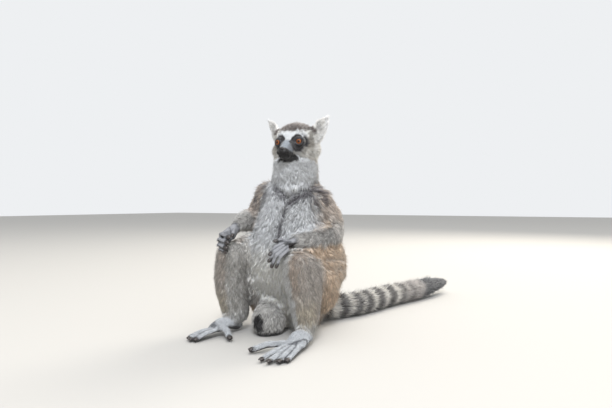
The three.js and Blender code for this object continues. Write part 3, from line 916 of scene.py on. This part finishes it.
PORE = 0.4
skin_material, tree = material("short_haired_skin")
place = add(tree, "TexCoord")
marks = add(tree, "Attribute", attribute_name="markings")
grain = add(tree, "TexVoronoi", [(place.outputs["Object"], "Vector")], Scale=1 / (PORE * MM))
bump = add(tree, "Bump", [(grain.outputs["Distance"], "Height")], Strength=0.35, Distance=0.00015)
naked = add(tree, "Attribute", attribute_name="naked")
gloss = add(tree, "MapRange", [(naked.outputs["Fac"], "Value")], To_Min=0.85, To_Max=0.36)
finish_material(tree, [(marks.outputs["Color"], "Base Color"), (bump.outputs["Normal"], "Normal"),
                       (gloss.outputs["Result"], "Roughness")])
skin_mesh.materials.append(skin_material)

# %% [markdown]
# Hair lies from the nose back over the head, down the trunk and limbs to the hands and feet, and along the tail.
# The direction is set part by part, laid flat on the skin, and combed smooth over the seams between the parts. On
# the ears and the tail's tip the tufts are also pulled the free way, off the skin.

# %% The lie of the coat
LEG_FALL = {"along": 0.35, "down": (0, 0.1, -0.8)}
PULL = {"ear": 1.1, "tip": 0.5}
COMBINGS = 12


def path_direction(points, path):
    away = np.stack([along_path(points, [a, b])[0] for a, b in zip(path[:-1], path[1:])])
    steps = unit(np.array([np.subtract(b, a) for a, b in zip(path[:-1], path[1:])], float))
    weight = 1 / (away.T + 2) ** 4
    return unit(weight @ steps)


def lie(points, part):
    """The direction in which the hair lies, before it is laid on the skin."""
    x, z = points[:, 0], points[:, 2]
    h = in_head(points)
    side = np.sign(h[:, 1])
    turn = trunk_turn(points)
    d = np.tile((0.0, 0.1, -1.0), (len(points), 1))
    trunk = is_part(part, "trunk")
    chest = ramp(np.abs(turn), 60, 20) * ramp(z, 170, 200)
    back = ramp(np.abs(turn), 50, 80)
    d[:, 0] += np.where(trunk, -0.45 * np.sign(x - 2) * chest * ramp(np.abs(x - 2), 0, 14), 0)
    d[:, 1] += np.where(trunk, 0.9 * back * ramp(np.abs(turn), 150, 110), 0)
    for limb in (("upper_arm", "forearm", "hand"), ("thigh", "shin", "foot")):
        for name in ("left", "right"):
            path = [LIMBS[f"{limb[0]}_{name}"][0]] + [p for piece in limb for p in LIMBS[f"{piece}_{name}"][1:]]
            mine = is_part(part, *[f"{piece}_{name}" for piece in limb])
            d[mine] = path_direction(points[mine], path)
    d[is_part(part, "thigh", "shin")] *= LEG_FALL["along"]
    d[is_part(part, "thigh", "shin")] += LEG_FALL["down"]
    for sign, name in ((1, "upper_arm_left"), (-1, "upper_arm_right")):
        d[is_part(part, name)] += (0.35 * sign, 0.35, -0.2)
    tail = is_part(part, "tail")
    d[tail] = path_direction(points[tail], TAIL)
    mound = is_part(part, "perineum")
    d[mound] = unit(points[mound] - (-22, -60, 60)) + (0, -0.2, -0.6)
    head = is_part(part, "head", "nose")
    out = points - from_head(60, 0, -20)
    d[head] = unit(out[head])
    low = ramp(h[:, 2], -2, -22) * ramp(np.abs(h[:, 1]), 14, 30)
    d[head] += (low[:, None] * (side[:, None] * OUT * 0.35 - UP * 0.75))[head]
    throat = ramp(h[:, 2], -22, -34) * ramp(h[:, 0], 46, 26)
    d[head] += (throat[:, None] * (-UP * 1.2))[head]
    ear = is_part(part, "ear")
    for s in (-1, 1):
        a, b = from_head(-6, s * 40, 10), from_head(-8, s * 50, 46)
        near = ear & (np.linalg.norm(points - a, axis=1) < 60)
        t = np.clip((points[near] - a) @ (b - a) / np.sum((b - a) ** 2), 0, 1)
        splay = unit(points[near] - a - t[:, None] * (b - a)) * (1, 0.3, 1)
        d[near] = UP * 0.75 + side[near, None] * OUT * 0.5 + splay * 0.3
    return unit(d)


def laid_on(direction, normals):
    return unit(direction - normals * np.sum(direction * normals, 1, keepdims=True))


free = lie(skin_points, skin_part)
far = along_path(skin_points, TAIL)[1]
tip = is_part(skin_part, "tail") * ramp(far, TAIL_LENGTH - BRUSH, TAIL_LENGTH - 20)
pull = free * (PULL["ear"] * is_part(skin_part, "ear") + PULL["tip"] * tip)[:, None]
comb = laid_on(free, skin_normals)
for _ in range(COMBINGS):
    comb = laid_on(spread(comb, skin_edges, 2), skin_normals)
print("coat combed")

# %% [markdown]
# A tuft is a thin solid spike with three sides that lies along the comb and ends in a point. Each part has its
# tufts' length, width and number to a square millimetre. These are blended over the skin like the depth. Hair is
# shorter on the muzzle and the chin, at the elbows and in the folds.

# %% Length, width and density of the tufts
HAIR = {
    "trunk": (20, 1.0, 0.56), "neck": (12, 0.75, 1.2), "upper_arm": (15, 1.15, 0.48), "forearm": (11, 0.9, 1.0),
    "hand": (3.6, 0.5, 1.9), "thigh": (14, 1.0, 0.55), "shin_right": (10, 0.9, 0.85), "shin": (11, 0.85, 1.05),
    "foot": (5.5, 0.62, 1.3), "perineum": (8, 1.0, 0.28), "tail": (22, 1.2, 0.6), "head": (9, 0.62, 1.5),
    "ear": (10.5, 0.6, 1.6), "nose": (1.2, 0.3, 0.0),
}
FACE_HAIR = (4.2, 0.42, 3.2)
SHORTER = {"muzzle": 0.64, "elbow": 0.4, "chin": 0.6, "fold": 0.5}
FOLD_DEPTH_CUT = 0.65
MORE_DEPTH = {"forearm": 3.2, "foot": 1.0}

hair = by_part(HAIR)[skin_part]
skin_h = in_head(skin_points)
front = face_mask(skin_h) * is_part(skin_part, "head")
hair = hair + (np.array(FACE_HAIR) - hair) * front[:, None]
skin_depth = coat_depth(skin_part, skin_points)
hair, skin_depth = spread(hair, skin_edges, 24), spread(skin_depth, skin_edges, 24)
at_elbow = np.min([np.linalg.norm(skin_points - np.array(LIMBS[f"forearm_{side}"][0]), axis=1)
                   for side in ("left", "right")], 0)
at_chin = ramp(skin_h[:, 0], 24, 30) * ramp(skin_h[:, 2], -46, -38) * ramp(np.abs(skin_h[:, 1]), 26, 18)
to_fold = np.min([along_path(skin_points, path)[0] for path, _, _ in COLLAR + FLANK_FOLDS], 0)
in_fold = ramp(to_fold, 10, 2)
hair[:, 0] *= 1 - SHORTER["muzzle"] * front * ramp(skin_h[:, 0], 36, 46)
hair[:, 0] *= 1 - SHORTER["elbow"] * ramp(at_elbow, 42, 20)
hair[:, 0] *= 1 - SHORTER["chin"] * at_chin
hair[:, 0] *= 1 - SHORTER["fold"] * in_fold
skin_depth *= 1 - FOLD_DEPTH_CUT * in_fold
for name, more in MORE_DEPTH.items():
    skin_depth += more * is_part(skin_part, name)
skin_depth = spread(skin_depth, skin_edges, 12)
print("hair from", round(hair[:, 0].min(), 1), "to", round(hair[:, 0].max(), 1), "mm long")

# %% [markdown]
# No hair grows on the nose pad, the soles and palms, the tips of the digits and the rims of the lids. There the
# skin shows its full colour and a slight shine.

# %% Bare skin
h = skin_h
nose_pad = ramp(np.hypot(h[:, 1] / 7.5, (h[:, 2] + 21) / 6), 1.15, 0.9) * ramp(h[:, 0], 54, 57)
sole = is_part(skin_part, "foot", "hand") * ramp(skin_normals[:, 2], -0.1, -0.4)
bare = np.max([is_part(skin_part, "nose") * 1.0, nose_pad, sole], 0)
for name, digits in DIGITS.items():
    for _, _, tip, r in digits:
        near = np.linalg.norm(skin_points - np.array(tip), axis=1) - r
        bare = np.maximum(bare, is_part(skin_part, name) * ramp(near, 2.0, 0.0))
for side in (-1, 1):
    r, a, b = eye_angles(h, side)
    bare = np.maximum(bare, ramp(opening(a, b), 1.5, 1.2) * (np.abs(a) < 100) * (r < EYE["radius"] + 6))
hair[:, 2] *= 1 - bare
# painted shade: where hair grows the skin's colour is darkened, and bare skin keeps its full colour
store_colour(skin_mesh, skin_colour * (UNDER_HAIR_SHADE + (1 - UNDER_HAIR_SHADE) * bare)[:, None])
naked = skin_mesh.attributes.new("naked", "FLOAT", "POINT")
naked.data.foreach_set("value", bare.astype(np.float32))
print("bare skin at", int((bare > 0.5).sum()), "points")

# %% [markdown]
# Roots are scattered over the skin's triangles by the density there. Where a tuft would run into the skin again,
# as under an arm, it tries other leans, and then it is cut short.

# %% Roots and clear leans
skin_tree = tree_of(skin_points, skin_tris)


def roots_on(chosen, scale=1.0):
    """Random roots on the chosen triangles of the skin: triangle numbers and weights of their corners."""
    index = np.flatnonzero(chosen)
    t = skin_tris[index]
    a, b, c = skin_points[t[:, 0]], skin_points[t[:, 1]], skin_points[t[:, 2]]
    area = np.linalg.norm(np.cross(b - a, c - a), axis=1) / 2
    want = area * hair[t, 2].mean(1) * scale
    count = np.floor(want + rng.random(len(want))).astype(int)
    index = np.repeat(index, count)
    s, r = np.sqrt(rng.random(len(index))), rng.random(len(index))
    return index, np.stack([1 - s, s * (1 - r), s * r], 1)


def at_roots(values, index, weights):
    """The skin's values at the roots, from the corners of their triangles."""
    corners = values[skin_tris[index]]
    if values.ndim == 1:
        return (corners * weights).sum(1)
    return (corners * weights[:, :, None]).sum(1)


def clear_length(start, direction, length):
    """How far each tuft can go before it meets the skin again, at most its length."""
    clear = length.copy()
    for k in range(len(start)):
        hit = skin_tree.ray_cast(Vector(start[k]), Vector(direction[k]), length[k] + 1.5)[3]
        if hit is not None:
            clear[k] = max(1.2, 0.85 * hit - 0.5)
    return clear


OTHER_LEANS = (0.3, 0.6, 0.9, -0.25)
FREE_SHARE = 0.75


def chords(flow, normal, lean):
    """Directions that rise from the flow by the lean, an angle in radians."""
    return flow * np.cos(lean)[:, None] + normal * np.sin(lean)[:, None]


def leaned_clear(start, flow, normal, lean, length):
    """Each tuft's lean and free length: a blocked one tries other leans before it is cut short."""
    clear = clear_length(start, chords(flow, normal, lean), length)
    for change in OTHER_LEANS:
        at = np.flatnonzero(clear < FREE_SHARE * length)
        other = np.clip(lean[at] + change, 0.02, 1.3)
        trial = clear_length(start[at], chords(flow[at], normal[at], other), length[at])
        better = trial > clear[at] * 1.15
        lean[at[better]], clear[at[better]] = other[better], trial[better]
    return lean, clear


print("ready to grow on", len(skin_tris), "triangles")

# %% [markdown]
# Each coat piece has a UV map, OFBake. There every tuft is a small patch at the place of its root, on an unwrap of
# the skin that the piece grows on.

# %% The unwrap
PATCH = 0.003
ISLAND_ANGLE, ISLAND_MARGIN = math.radians(66), 0.004


def unwrap(index):
    """A map of the skin's chosen triangles, laid flat in a unit square: three corners' places for each."""
    used = np.unique(index)
    corners, back = np.unique(skin_tris[used], return_inverse=True)
    o = make_object("flat", make_mesh("flat", skin_points[corners], back.reshape(-1, 3)))
    bpy.context.view_layer.objects.active = o
    o.select_set(True)
    bpy.ops.object.mode_set(mode="EDIT")
    bpy.ops.mesh.select_all(action="SELECT")
    bpy.ops.uv.smart_project(angle_limit=ISLAND_ANGLE, island_margin=ISLAND_MARGIN)
    bpy.ops.object.mode_set(mode="OBJECT")
    uv = np.empty(len(used) * 6, np.float32)
    o.data.uv_layers.active.uv.foreach_get("vector", uv)
    bpy.data.objects.remove(o)
    places = np.zeros((len(skin_tris), 3, 2), np.float32)
    places[used] = uv.reshape(-1, 3, 2)
    return places


def set_unwrap(mesh, index, weights, corners):
    """Fills OFBake: corners are the places of one tuft's face corners in a unit square."""
    places = unwrap(index)[index]
    centre = (places * weights[:, :, None]).sum(1).clip(PATCH, 1 - PATCH)
    patch = (np.array(corners).reshape(1, -1, 2) - 0.5) * PATCH
    layer = mesh.uv_layers.new(name="OFBake")
    layer.uv.foreach_set("vector", (centre[:, None, :] + patch).astype(np.float32).ravel())


# %% [markdown]
# A long tuft has a middle ring, so that it bends over, and a short one is straight. All tufts of a piece have the
# same faces, so one tuft's faces and the places of their corners on its patch serve for all of them.

# %% The faces of a tuft
CORNERS = 3


def tuft_faces(rings):
    """The triangles of one tuft with that many rings, and its corners in a unit square."""
    faces, uv = [(0, 2, 1)], [(0.5, 0, 0.5, 0, 0.5, 0)]
    for ring in range(rings):
        low, high = ring / rings, (ring + 1) / rings
        for k in range(CORNERS):
            a, b = CORNERS * ring + k, CORNERS * ring + (k + 1) % CORNERS
            left, right = k / CORNERS, (k + 1) / CORNERS
            if ring + 1 < rings:
                faces += [(a, b, b + CORNERS), (a, b + CORNERS, a + CORNERS)]
                uv += [(left, low, right, low, right, high), (left, low, right, high, left, high)]
            else:
                faces.append((a, b, CORNERS * rings))
                uv.append((left, low, right, low, (left + right) / 2, 1))
    return np.array(faces), uv


print("a bent tuft has", len(tuft_faces(2)[0]), "triangles, a straight one", len(tuft_faces(1)[0]))

# %% [markdown]
# A tuft lies along the comb, which small and slow turns part into locks. It leans so that its tip ends at the
# coat's depth, apart from a few strays that stand higher. Then it bends over, and it stays above the floor.

# %% The shape of the tufts
SINK = 0.8
FLOOR = 0.35
STRAYS, STRAY_LIFT = 0.08, 1.6
LEAN_CHANGE = math.radians(24)
LEAST_LEAN, MOST_SLOPE = 0.03, 0.85


def tuft_shapes(index, weights, bends, scale):
    """The tufts' points, their stations from the root to the tip, and the normals of the skin at their roots."""
    n = len(index)
    root = at_roots(skin_points, index, weights)
    normal = unit(at_roots(skin_normals, index, weights))
    length, width, _ = at_roots(hair, index, weights).T
    depth = at_roots(skin_depth, index, weights)
    flow = laid_on(at_roots(comb, index, weights), normal)
    side = np.cross(normal, flow)
    turn = 0.16 * drift(root, 16, 21) + 0.10 * drift(root, 5, 22) + rng.normal(0, 0.10, n)
    flow = flow * np.cos(turn)[:, None] + side * np.sin(turn)[:, None]
    side = np.cross(normal, flow)
    pulled = at_roots(pull, index, weights)
    length = length * (1 + 0.10 * drift(root, 10, 23) + rng.normal(0, 0.10, n)).clip(0.6, 1.3)
    stray = np.where(rng.random(n) < STRAYS, STRAY_LIFT, 1.0)
    slope = depth / length * stray * rng.uniform(0.65, 1.1, n)
    lean = np.arcsin(np.clip(slope, LEAST_LEAN, MOST_SLOPE))
    lean, clear = leaned_clear(root + normal * 0.6, flow, normal, lean, length)
    chord = chords(flow, normal, lean)
    width = width / math.sqrt(scale) * rng.uniform(0.75, 1.25, n) * np.sqrt(clear / length)
    length = clear
    change = LEAN_CHANGE if bends else 0
    first, last = lean + change * 0.6, lean - change * 0.55
    sway = rng.normal(0, 0.05, (n, 2))

    def step(angle, sideways):
        return unit(chords(flow, normal, angle) + side * sideways[:, None] + pulled)

    base = root - normal * SINK
    rings = [base]
    if bends:
        rings.append(base + step(first, sway[:, 0]) * (SINK + 0.45 * length)[:, None])
        tip = rings[1] + step(last, sway[:, 1]) * (0.58 * length)[:, None]
    else:
        tip = base + step(lean, sway[:, 0]) * (SINK + length)[:, None]
    up = unit(normal - chord * np.sum(normal * chord, 1, keepdims=True))
    points = []
    for ring, share in zip(rings, (0.8, 1.0) if bends else (1.0,)):
        w = (width * share)[:, None]
        points += [ring - side * w / 2 - up * w * 0.12, ring + side * w / 2 - up * w * 0.12, ring + up * w * 0.32]
    points = np.stack([*points, tip], 1)
    points[:, :, 2] = np.maximum(points[:, :, 2], FLOOR)
    return points, [root, *rings[1:], tip], normal


# %% [markdown]
# Each tuft has its own brightness: grizzled hair has dark tufts among pale ones. A tuft is darker at its root, for
# darker underfur and as painted shade deep in the coat, and has the colour of the markings there. On the tail each
# of its rings has the colour of its own place, so that the tail's bands stay sharp under long hair.

# %% The colours of the tufts
GRIZZLE = {"trunk": 0.16, "neck": 0.09, "upper_arm": 0.26, "forearm": 0.4, "hand": 0.26, "thigh": 0.3,
           "shin": 0.36, "foot": 0.2, "perineum": 0.26, "tail": 0.16, "head": 0.2, "ear": 0.1, "nose": 0.0}
ROOT_PAINTED_SHADE, ROOT_END = 0.85, 1.6
DARK_TUFT, BRIGHTER = 0.62, 1.16


def tuft_colours(stations, normal, base, part, rings, banded):
    n, root = len(part), stations[0]
    colour = np.stack([marked(at, normal, base, part) for at in (stations if banded else [root])], 1)
    grizzle = by_part(GRIZZLE)[part]
    own = 1 + grizzle * (rng.normal(0, 0.6, n) + 0.45 * drift(root, 7, 24))
    own = np.where(rng.random(n) < grizzle * 0.7, own * DARK_TUFT, own).clip(0.35, 1.35)
    level = [k // CORNERS for k in range(CORNERS * rings)] + [rings]
    lit = (colour * own[:, None, None] * BRIGHTER).clip(0, 0.9)[:, level if banded else [0] * len(level)]
    # painted shade: each tuft darker towards its root
    steps = np.linspace(0, 1, rings + 1)[level]
    shade = ROOT_PAINTED_SHADE + (1 - ROOT_PAINTED_SHADE) * np.minimum(1, steps * ROOT_END)
    return (lit * shade[None, :, None]).reshape(-1, 3)


# %% [markdown]
# The hair's material takes the markings, and a fine noise breaks each tuft up into strands. It has a soft sheen.

# %% The hair's material
STRAND = 0.7
fur_material, tree = material("animal_hair")
marks = add(tree, "Attribute", attribute_name="markings")
place = add(tree, "TexCoord")
strands = add(tree, "TexNoise", [(place.outputs["Object"], "Vector")], Scale=1 / (STRAND * MM), Detail=2.0)
shade = add(tree, "MapRange", [(strands.outputs["Fac"], "Value")], From_Min=0.3, From_Max=0.7, To_Min=0.78,
            To_Max=1.12)
tinted = add(tree, "VectorMath", [(marks.outputs["Color"], 0)], operation="SCALE")
tree.links.new(shade.outputs["Result"], tinted.inputs["Scale"])
finish_material(tree, [(tinted.outputs["Vector"], "Base Color")], Roughness=0.62, Sheen_Weight=0.25)
print("hair material with", len(tree.nodes), "nodes")

# %% [markdown]
# The coat is grown in pieces, so that none is too heavy. They follow the parts of the body, and the trunk is
# parted into a front and two sides by the turn round it.

# %% The coat
FRONT_TURN = 62
BACK_SHARE = 0.7


def grow(name, chosen, bends=True, scale=1.0, banded=False):
    """Makes one coat piece on the chosen triangles of the skin, and returns its number of triangles."""
    index, weights = roots_on(chosen, scale)
    part = skin_part[skin_tris[index, weights.argmax(1)]]
    points, stations, normal = tuft_shapes(index, weights, bends, scale)
    rings = len(stations) - 1
    faces, uv = tuft_faces(rings)
    tris = (faces[None] + (np.arange(len(index)) * points.shape[1])[:, None, None]).reshape(-1, 3)
    mesh = make_mesh(name, points.reshape(-1, 3), tris)
    set_unwrap(mesh, index, weights, uv)
    base = at_roots(skin_base, index, weights)
    store_colour(mesh, tuft_colours(stations, normal, base, part, rings, banded))
    mesh.materials.append(fur_material)
    o = make_object(name, mesh)
    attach(o, "root")
    print(name, len(index), "tufts,", len(tris), "triangles")
    return len(tris)


tri_part = skin_part[skin_tris[:, 0]]
tri_middle = skin_points[skin_tris].mean(1)
tri_face = front[skin_tris].mean(1) > 0.55
in_front = np.abs(trunk_turn(tri_middle)) < FRONT_TURN
head_tris, trunk_tris = is_part(tri_part, "head", "nose"), is_part(tri_part, "trunk")
total = grow("coat_face", head_tris & tri_face, bends=False)
total += grow("coat_head", head_tris & ~tri_face)
total += grow("coat_ears", is_part(tri_part, "ear"))
total += grow("coat_neck", is_part(tri_part, "neck"))
total += grow("coat_chest", trunk_tris & in_front)
for side, mine in (("left", tri_middle[:, 0] >= -6), ("right", tri_middle[:, 0] < -6)):
    total += grow(f"coat_back_{side}", trunk_tris & ~in_front & mine, scale=BACK_SHARE)
LIMB_COATS = {"upper_arm": (True, "coat_flank"), "forearm": (False, "coat_grey"), "hand": (False, "coat_grey"),
              "thigh": (True, "coat_grey"), "shin": (False, "coat_grey"), "foot": (False, "coat_foot")}
for side in ("left", "right"):
    for limb, (bends, slot) in LIMB_COATS.items():
        total += grow(f"coat_{limb}_{side}", is_part(tri_part, f"{limb}_{side}"), bends)
total += grow("coat_mound", is_part(tri_part, "perineum"))
total += grow("coat_tail", is_part(tri_part, "tail"), banded=True)
print("coat triangles in all:", total)

# %% [markdown]
# The floor is a plain pale sheet.

# %% Floor
HALF_FLOOR = 9000.0
floor_material, tree = material("pale_floor")
finish_material(tree, [], Base_Color=(*linear("b4b2ae"), 1), Roughness=0.9)
corners = HALF_FLOOR * np.array([(-1, -1, 0), (1, -1, 0), (1, 1, 0), (-1, 1, 0)])
floor = make_object("floor", make_mesh("floor", corners, np.array([[0, 1, 2, 3]])))
floor.data.materials.append(floor_material)
print("floor", round(2 * HALF_FLOOR * MM), "m wide")

# %% [markdown]
# The eye is a ball of 15 mm with a low dome, the cornea, over the iris. Amber iris, black pupil and dark rim are
# painted by the angle from the gaze, and fine fibres run out from the pupil. A clear coat gives the wet shine.

# %% Eyes
CORNEA = {"lift": 0.55, "edge": 46, "full": 22}
RINGS_ACROSS, RINGS_ROUND = 48, 64
FULL_ANGLE = 60
FIBRES = 9
WOBBLE = 0.10
IRIS = [(0.0, "030303"), (0.275, "050403"), (0.305, "451f0a"), (0.36, "74390f"), (0.47, "935224"),
        (0.555, "683413"), (0.60, "2c150a"), (0.67, "16100e"), (1.0, "1c1514")]

eye_material, tree = material("wet_eye")
place = add(tree, "Attribute", attribute_name="spin_and_angle")
apart = add(tree, "SeparateXYZ", [(place.outputs["Vector"], "Vector")])
fibres = add(tree, "TexNoise", [(place.outputs["Vector"], "Vector")], Scale=1.0, Detail=4.0, Roughness=0.7)
wobble = add(tree, "Math", [(fibres.outputs["Fac"], 0)], operation="MULTIPLY_ADD")
wobble.inputs[1].default_value = WOBBLE
tree.links.new(apart.outputs["Z"], wobble.inputs[2])
bands = add(tree, "ValToRGB", [(wobble.outputs["Value"], "Fac")])
for k, (at, code) in enumerate(IRIS):
    stop = bands.color_ramp.elements[k] if k < 2 else bands.color_ramp.elements.new(at)
    stop.position, stop.color = at, (*linear(code), 1)
finish_material(tree, [(bands.outputs["Color"], "Base Color")], Roughness=0.5, Specular_IOR_Level=0.1,
                Coat_Weight=1.0, Coat_Roughness=0.02, Coat_IOR=1.376)


def ball_faces(rows, n):
    """The triangles of a ball of that many rings of n points, with a pole before them and one behind."""
    ring = np.arange(rows * n).reshape(rows, n)
    after = np.roll(ring, -1, axis=1)
    sides = [np.stack([ring[:-1], ring[1:], after[1:]], -1), np.stack([ring[:-1], after[1:], after[:-1]], -1)]
    caps = [np.stack([np.full(n, rows * n), ring[0], after[0]], -1),
            np.stack([np.full(n, rows * n + 1), after[-1], ring[-1]], -1)]
    return np.concatenate([t.reshape(-1, 3) for t in sides + caps])


def eyeball(name, side):
    centre = eye_centre(side)
    g = gaze(side) @ np.stack([FORWARD, OUT, UP])
    across = unit(np.cross(UP, g))
    upward = np.cross(g, across)
    angle = np.linspace(0, math.pi, RINGS_ACROSS + 1)[1:-1]
    spin = np.arange(RINGS_ROUND) / RINGS_ROUND * 2 * math.pi
    a, p = np.meshgrid(angle, spin, indexing="ij")
    dome = CORNEA["lift"] * ramp(np.degrees(a), CORNEA["edge"], CORNEA["full"])
    r = (EYE["radius"] + dome)[..., None]
    points = centre + r * (np.cos(a)[..., None] * g + np.sin(a)[..., None]
                           * (np.cos(p)[..., None] * across + np.sin(p)[..., None] * upward))
    poles = [centre + g * (EYE["radius"] + CORNEA["lift"]), centre - g * EYE["radius"]]
    points = np.concatenate([points.reshape(-1, 3), poles])
    mesh = make_mesh(name, points, ball_faces(len(angle), RINGS_ROUND))
    where = np.stack([np.cos(p) * FIBRES, np.sin(p) * FIBRES, np.degrees(a) / FULL_ANGLE], -1).reshape(-1, 3)
    where = np.concatenate([where, [(0, 0, 0), (0, 0, 180 / FULL_ANGLE)]])
    layer = mesh.attributes.new("spin_and_angle", "FLOAT_VECTOR", "POINT")
    layer.data.foreach_set("vector", where.astype(np.float32).ravel())
    mesh.materials.append(eye_material)
    o = make_object(name, mesh)
    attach(o, "root")
    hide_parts("eye_left" if side > 0 else "eye_right")


eyeball("eyeball_left", 1)
eyeball("eyeball_right", -1)
print("eyeballs of", round(2 * EYE["radius"], 1), "mm")

# %% [markdown]
# Every digit ends in a flat nail, a curved plate of dark horn on the back of its tip. It is drawn as an arch
# across and a slope along, with a thickness, and laid on the digit's last joint. Widths and heights are shares of
# the digit's half width, and the other measures are millimetres.

# %% Nails
NAIL = {"long": 6.0, "wide": 0.8075, "thick": 0.7, "high": 0.86, "arch": 0.38, "slope": 1.0}
BEHIND_TIP = 0.3
NARROWS_FROM, NARROWS_BY = 0.6, 0.45
NAIL_ALONG, NAIL_ACROSS = 6, 7
BACK_OF = {"hand_left": (0.1, -0.75, 0.6), "hand_right": (0.1, -1.0, 0.25), "foot_left": (0, -0.1, 1),
           "foot_right": (0, -0.1, 1)}
nail_material, tree = material("dark_horn")
place = add(tree, "TexCoord")
streaks = add(tree, "TexNoise", [(place.outputs["Object"], "Vector")], Scale=700.0, Detail=2.0)
shade = add(tree, "ValToRGB", [(streaks.outputs["Fac"], "Fac")])
for k, (at, code) in enumerate([(0.35, "1f1b1a"), (0.7, "4a4340")]):
    shade.color_ramp.elements[k].position, shade.color_ramp.elements[k].color = at, (*linear(code), 1)
finish_material(tree, [(shade.outputs["Color"], "Base Color")], Roughness=0.35)


def nail_points(name, bend, tip, r):
    """One nail's points, row after row along the digit: the upper face's and then the lower one's."""
    d = unit(tip - bend)
    up = unit(laid_on(np.array(BACK_OF[name], float)[None], d[None])[0])
    side = np.cross(d, up)
    points = []
    for layer in (0, 1):
        for t in np.linspace(0, 1, NAIL_ALONG):
            narrow = max(0, (t - NARROWS_FROM) / NARROWS_BY)
            half = r * NAIL["wide"] * math.sqrt(max(0.05, 1 - narrow ** 2))
            for a in np.linspace(-1, 1, NAIL_ACROSS):
                lift = r * (NAIL["high"] - NAIL["arch"] * a * a) - NAIL["slope"] * t * t - layer * NAIL["thick"]
                points.append(tip + d * (t - BEHIND_TIP) * NAIL["long"] + side * a * half + up * lift)
    return np.array(points)


def nail_faces():
    """One nail's faces: the upper face, the lower one and the rim between them."""
    grid = np.arange(NAIL_ALONG * NAIL_ACROSS).reshape(NAIL_ALONG, NAIL_ACROSS)
    a, b, c, d = grid[:-1, :-1], grid[:-1, 1:], grid[1:, 1:], grid[1:, :-1]
    rim = np.concatenate([grid[0], grid[1:, -1], grid[-1, -2::-1], grid[-2:0:-1, 0]])
    after = np.roll(rim, -1)
    return np.concatenate([np.stack([a, b, c, d], -1).reshape(-1, 4),
                           np.stack([a, d, c, b], -1).reshape(-1, 4) + grid.size,
                           np.stack([after, rim, rim + grid.size, after + grid.size], -1)])


def nails(name):
    each = [(nail_points(name, np.array(bend, float), np.array(tip, float), r), nail_faces())
            for _, bend, tip, r in DIGITS[name]]
    points, faces, _ = joined(each)
    points[:, 2] = np.maximum(points[:, 2], FLOOR)
    mesh = make_mesh(f"nails_{name}", points, faces)
    bm = bmesh.new()
    bm.from_mesh(mesh)
    bmesh.ops.recalc_face_normals(bm, faces=bm.faces)
    bm.to_mesh(mesh)
    bm.free()
    mesh.materials.append(nail_material)
    o = make_object(f"nails_{name}", mesh)
    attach(o, "root")


for name in DIGITS:
    nails(name)
print("nails on", len(DIGITS), "hands and feet")
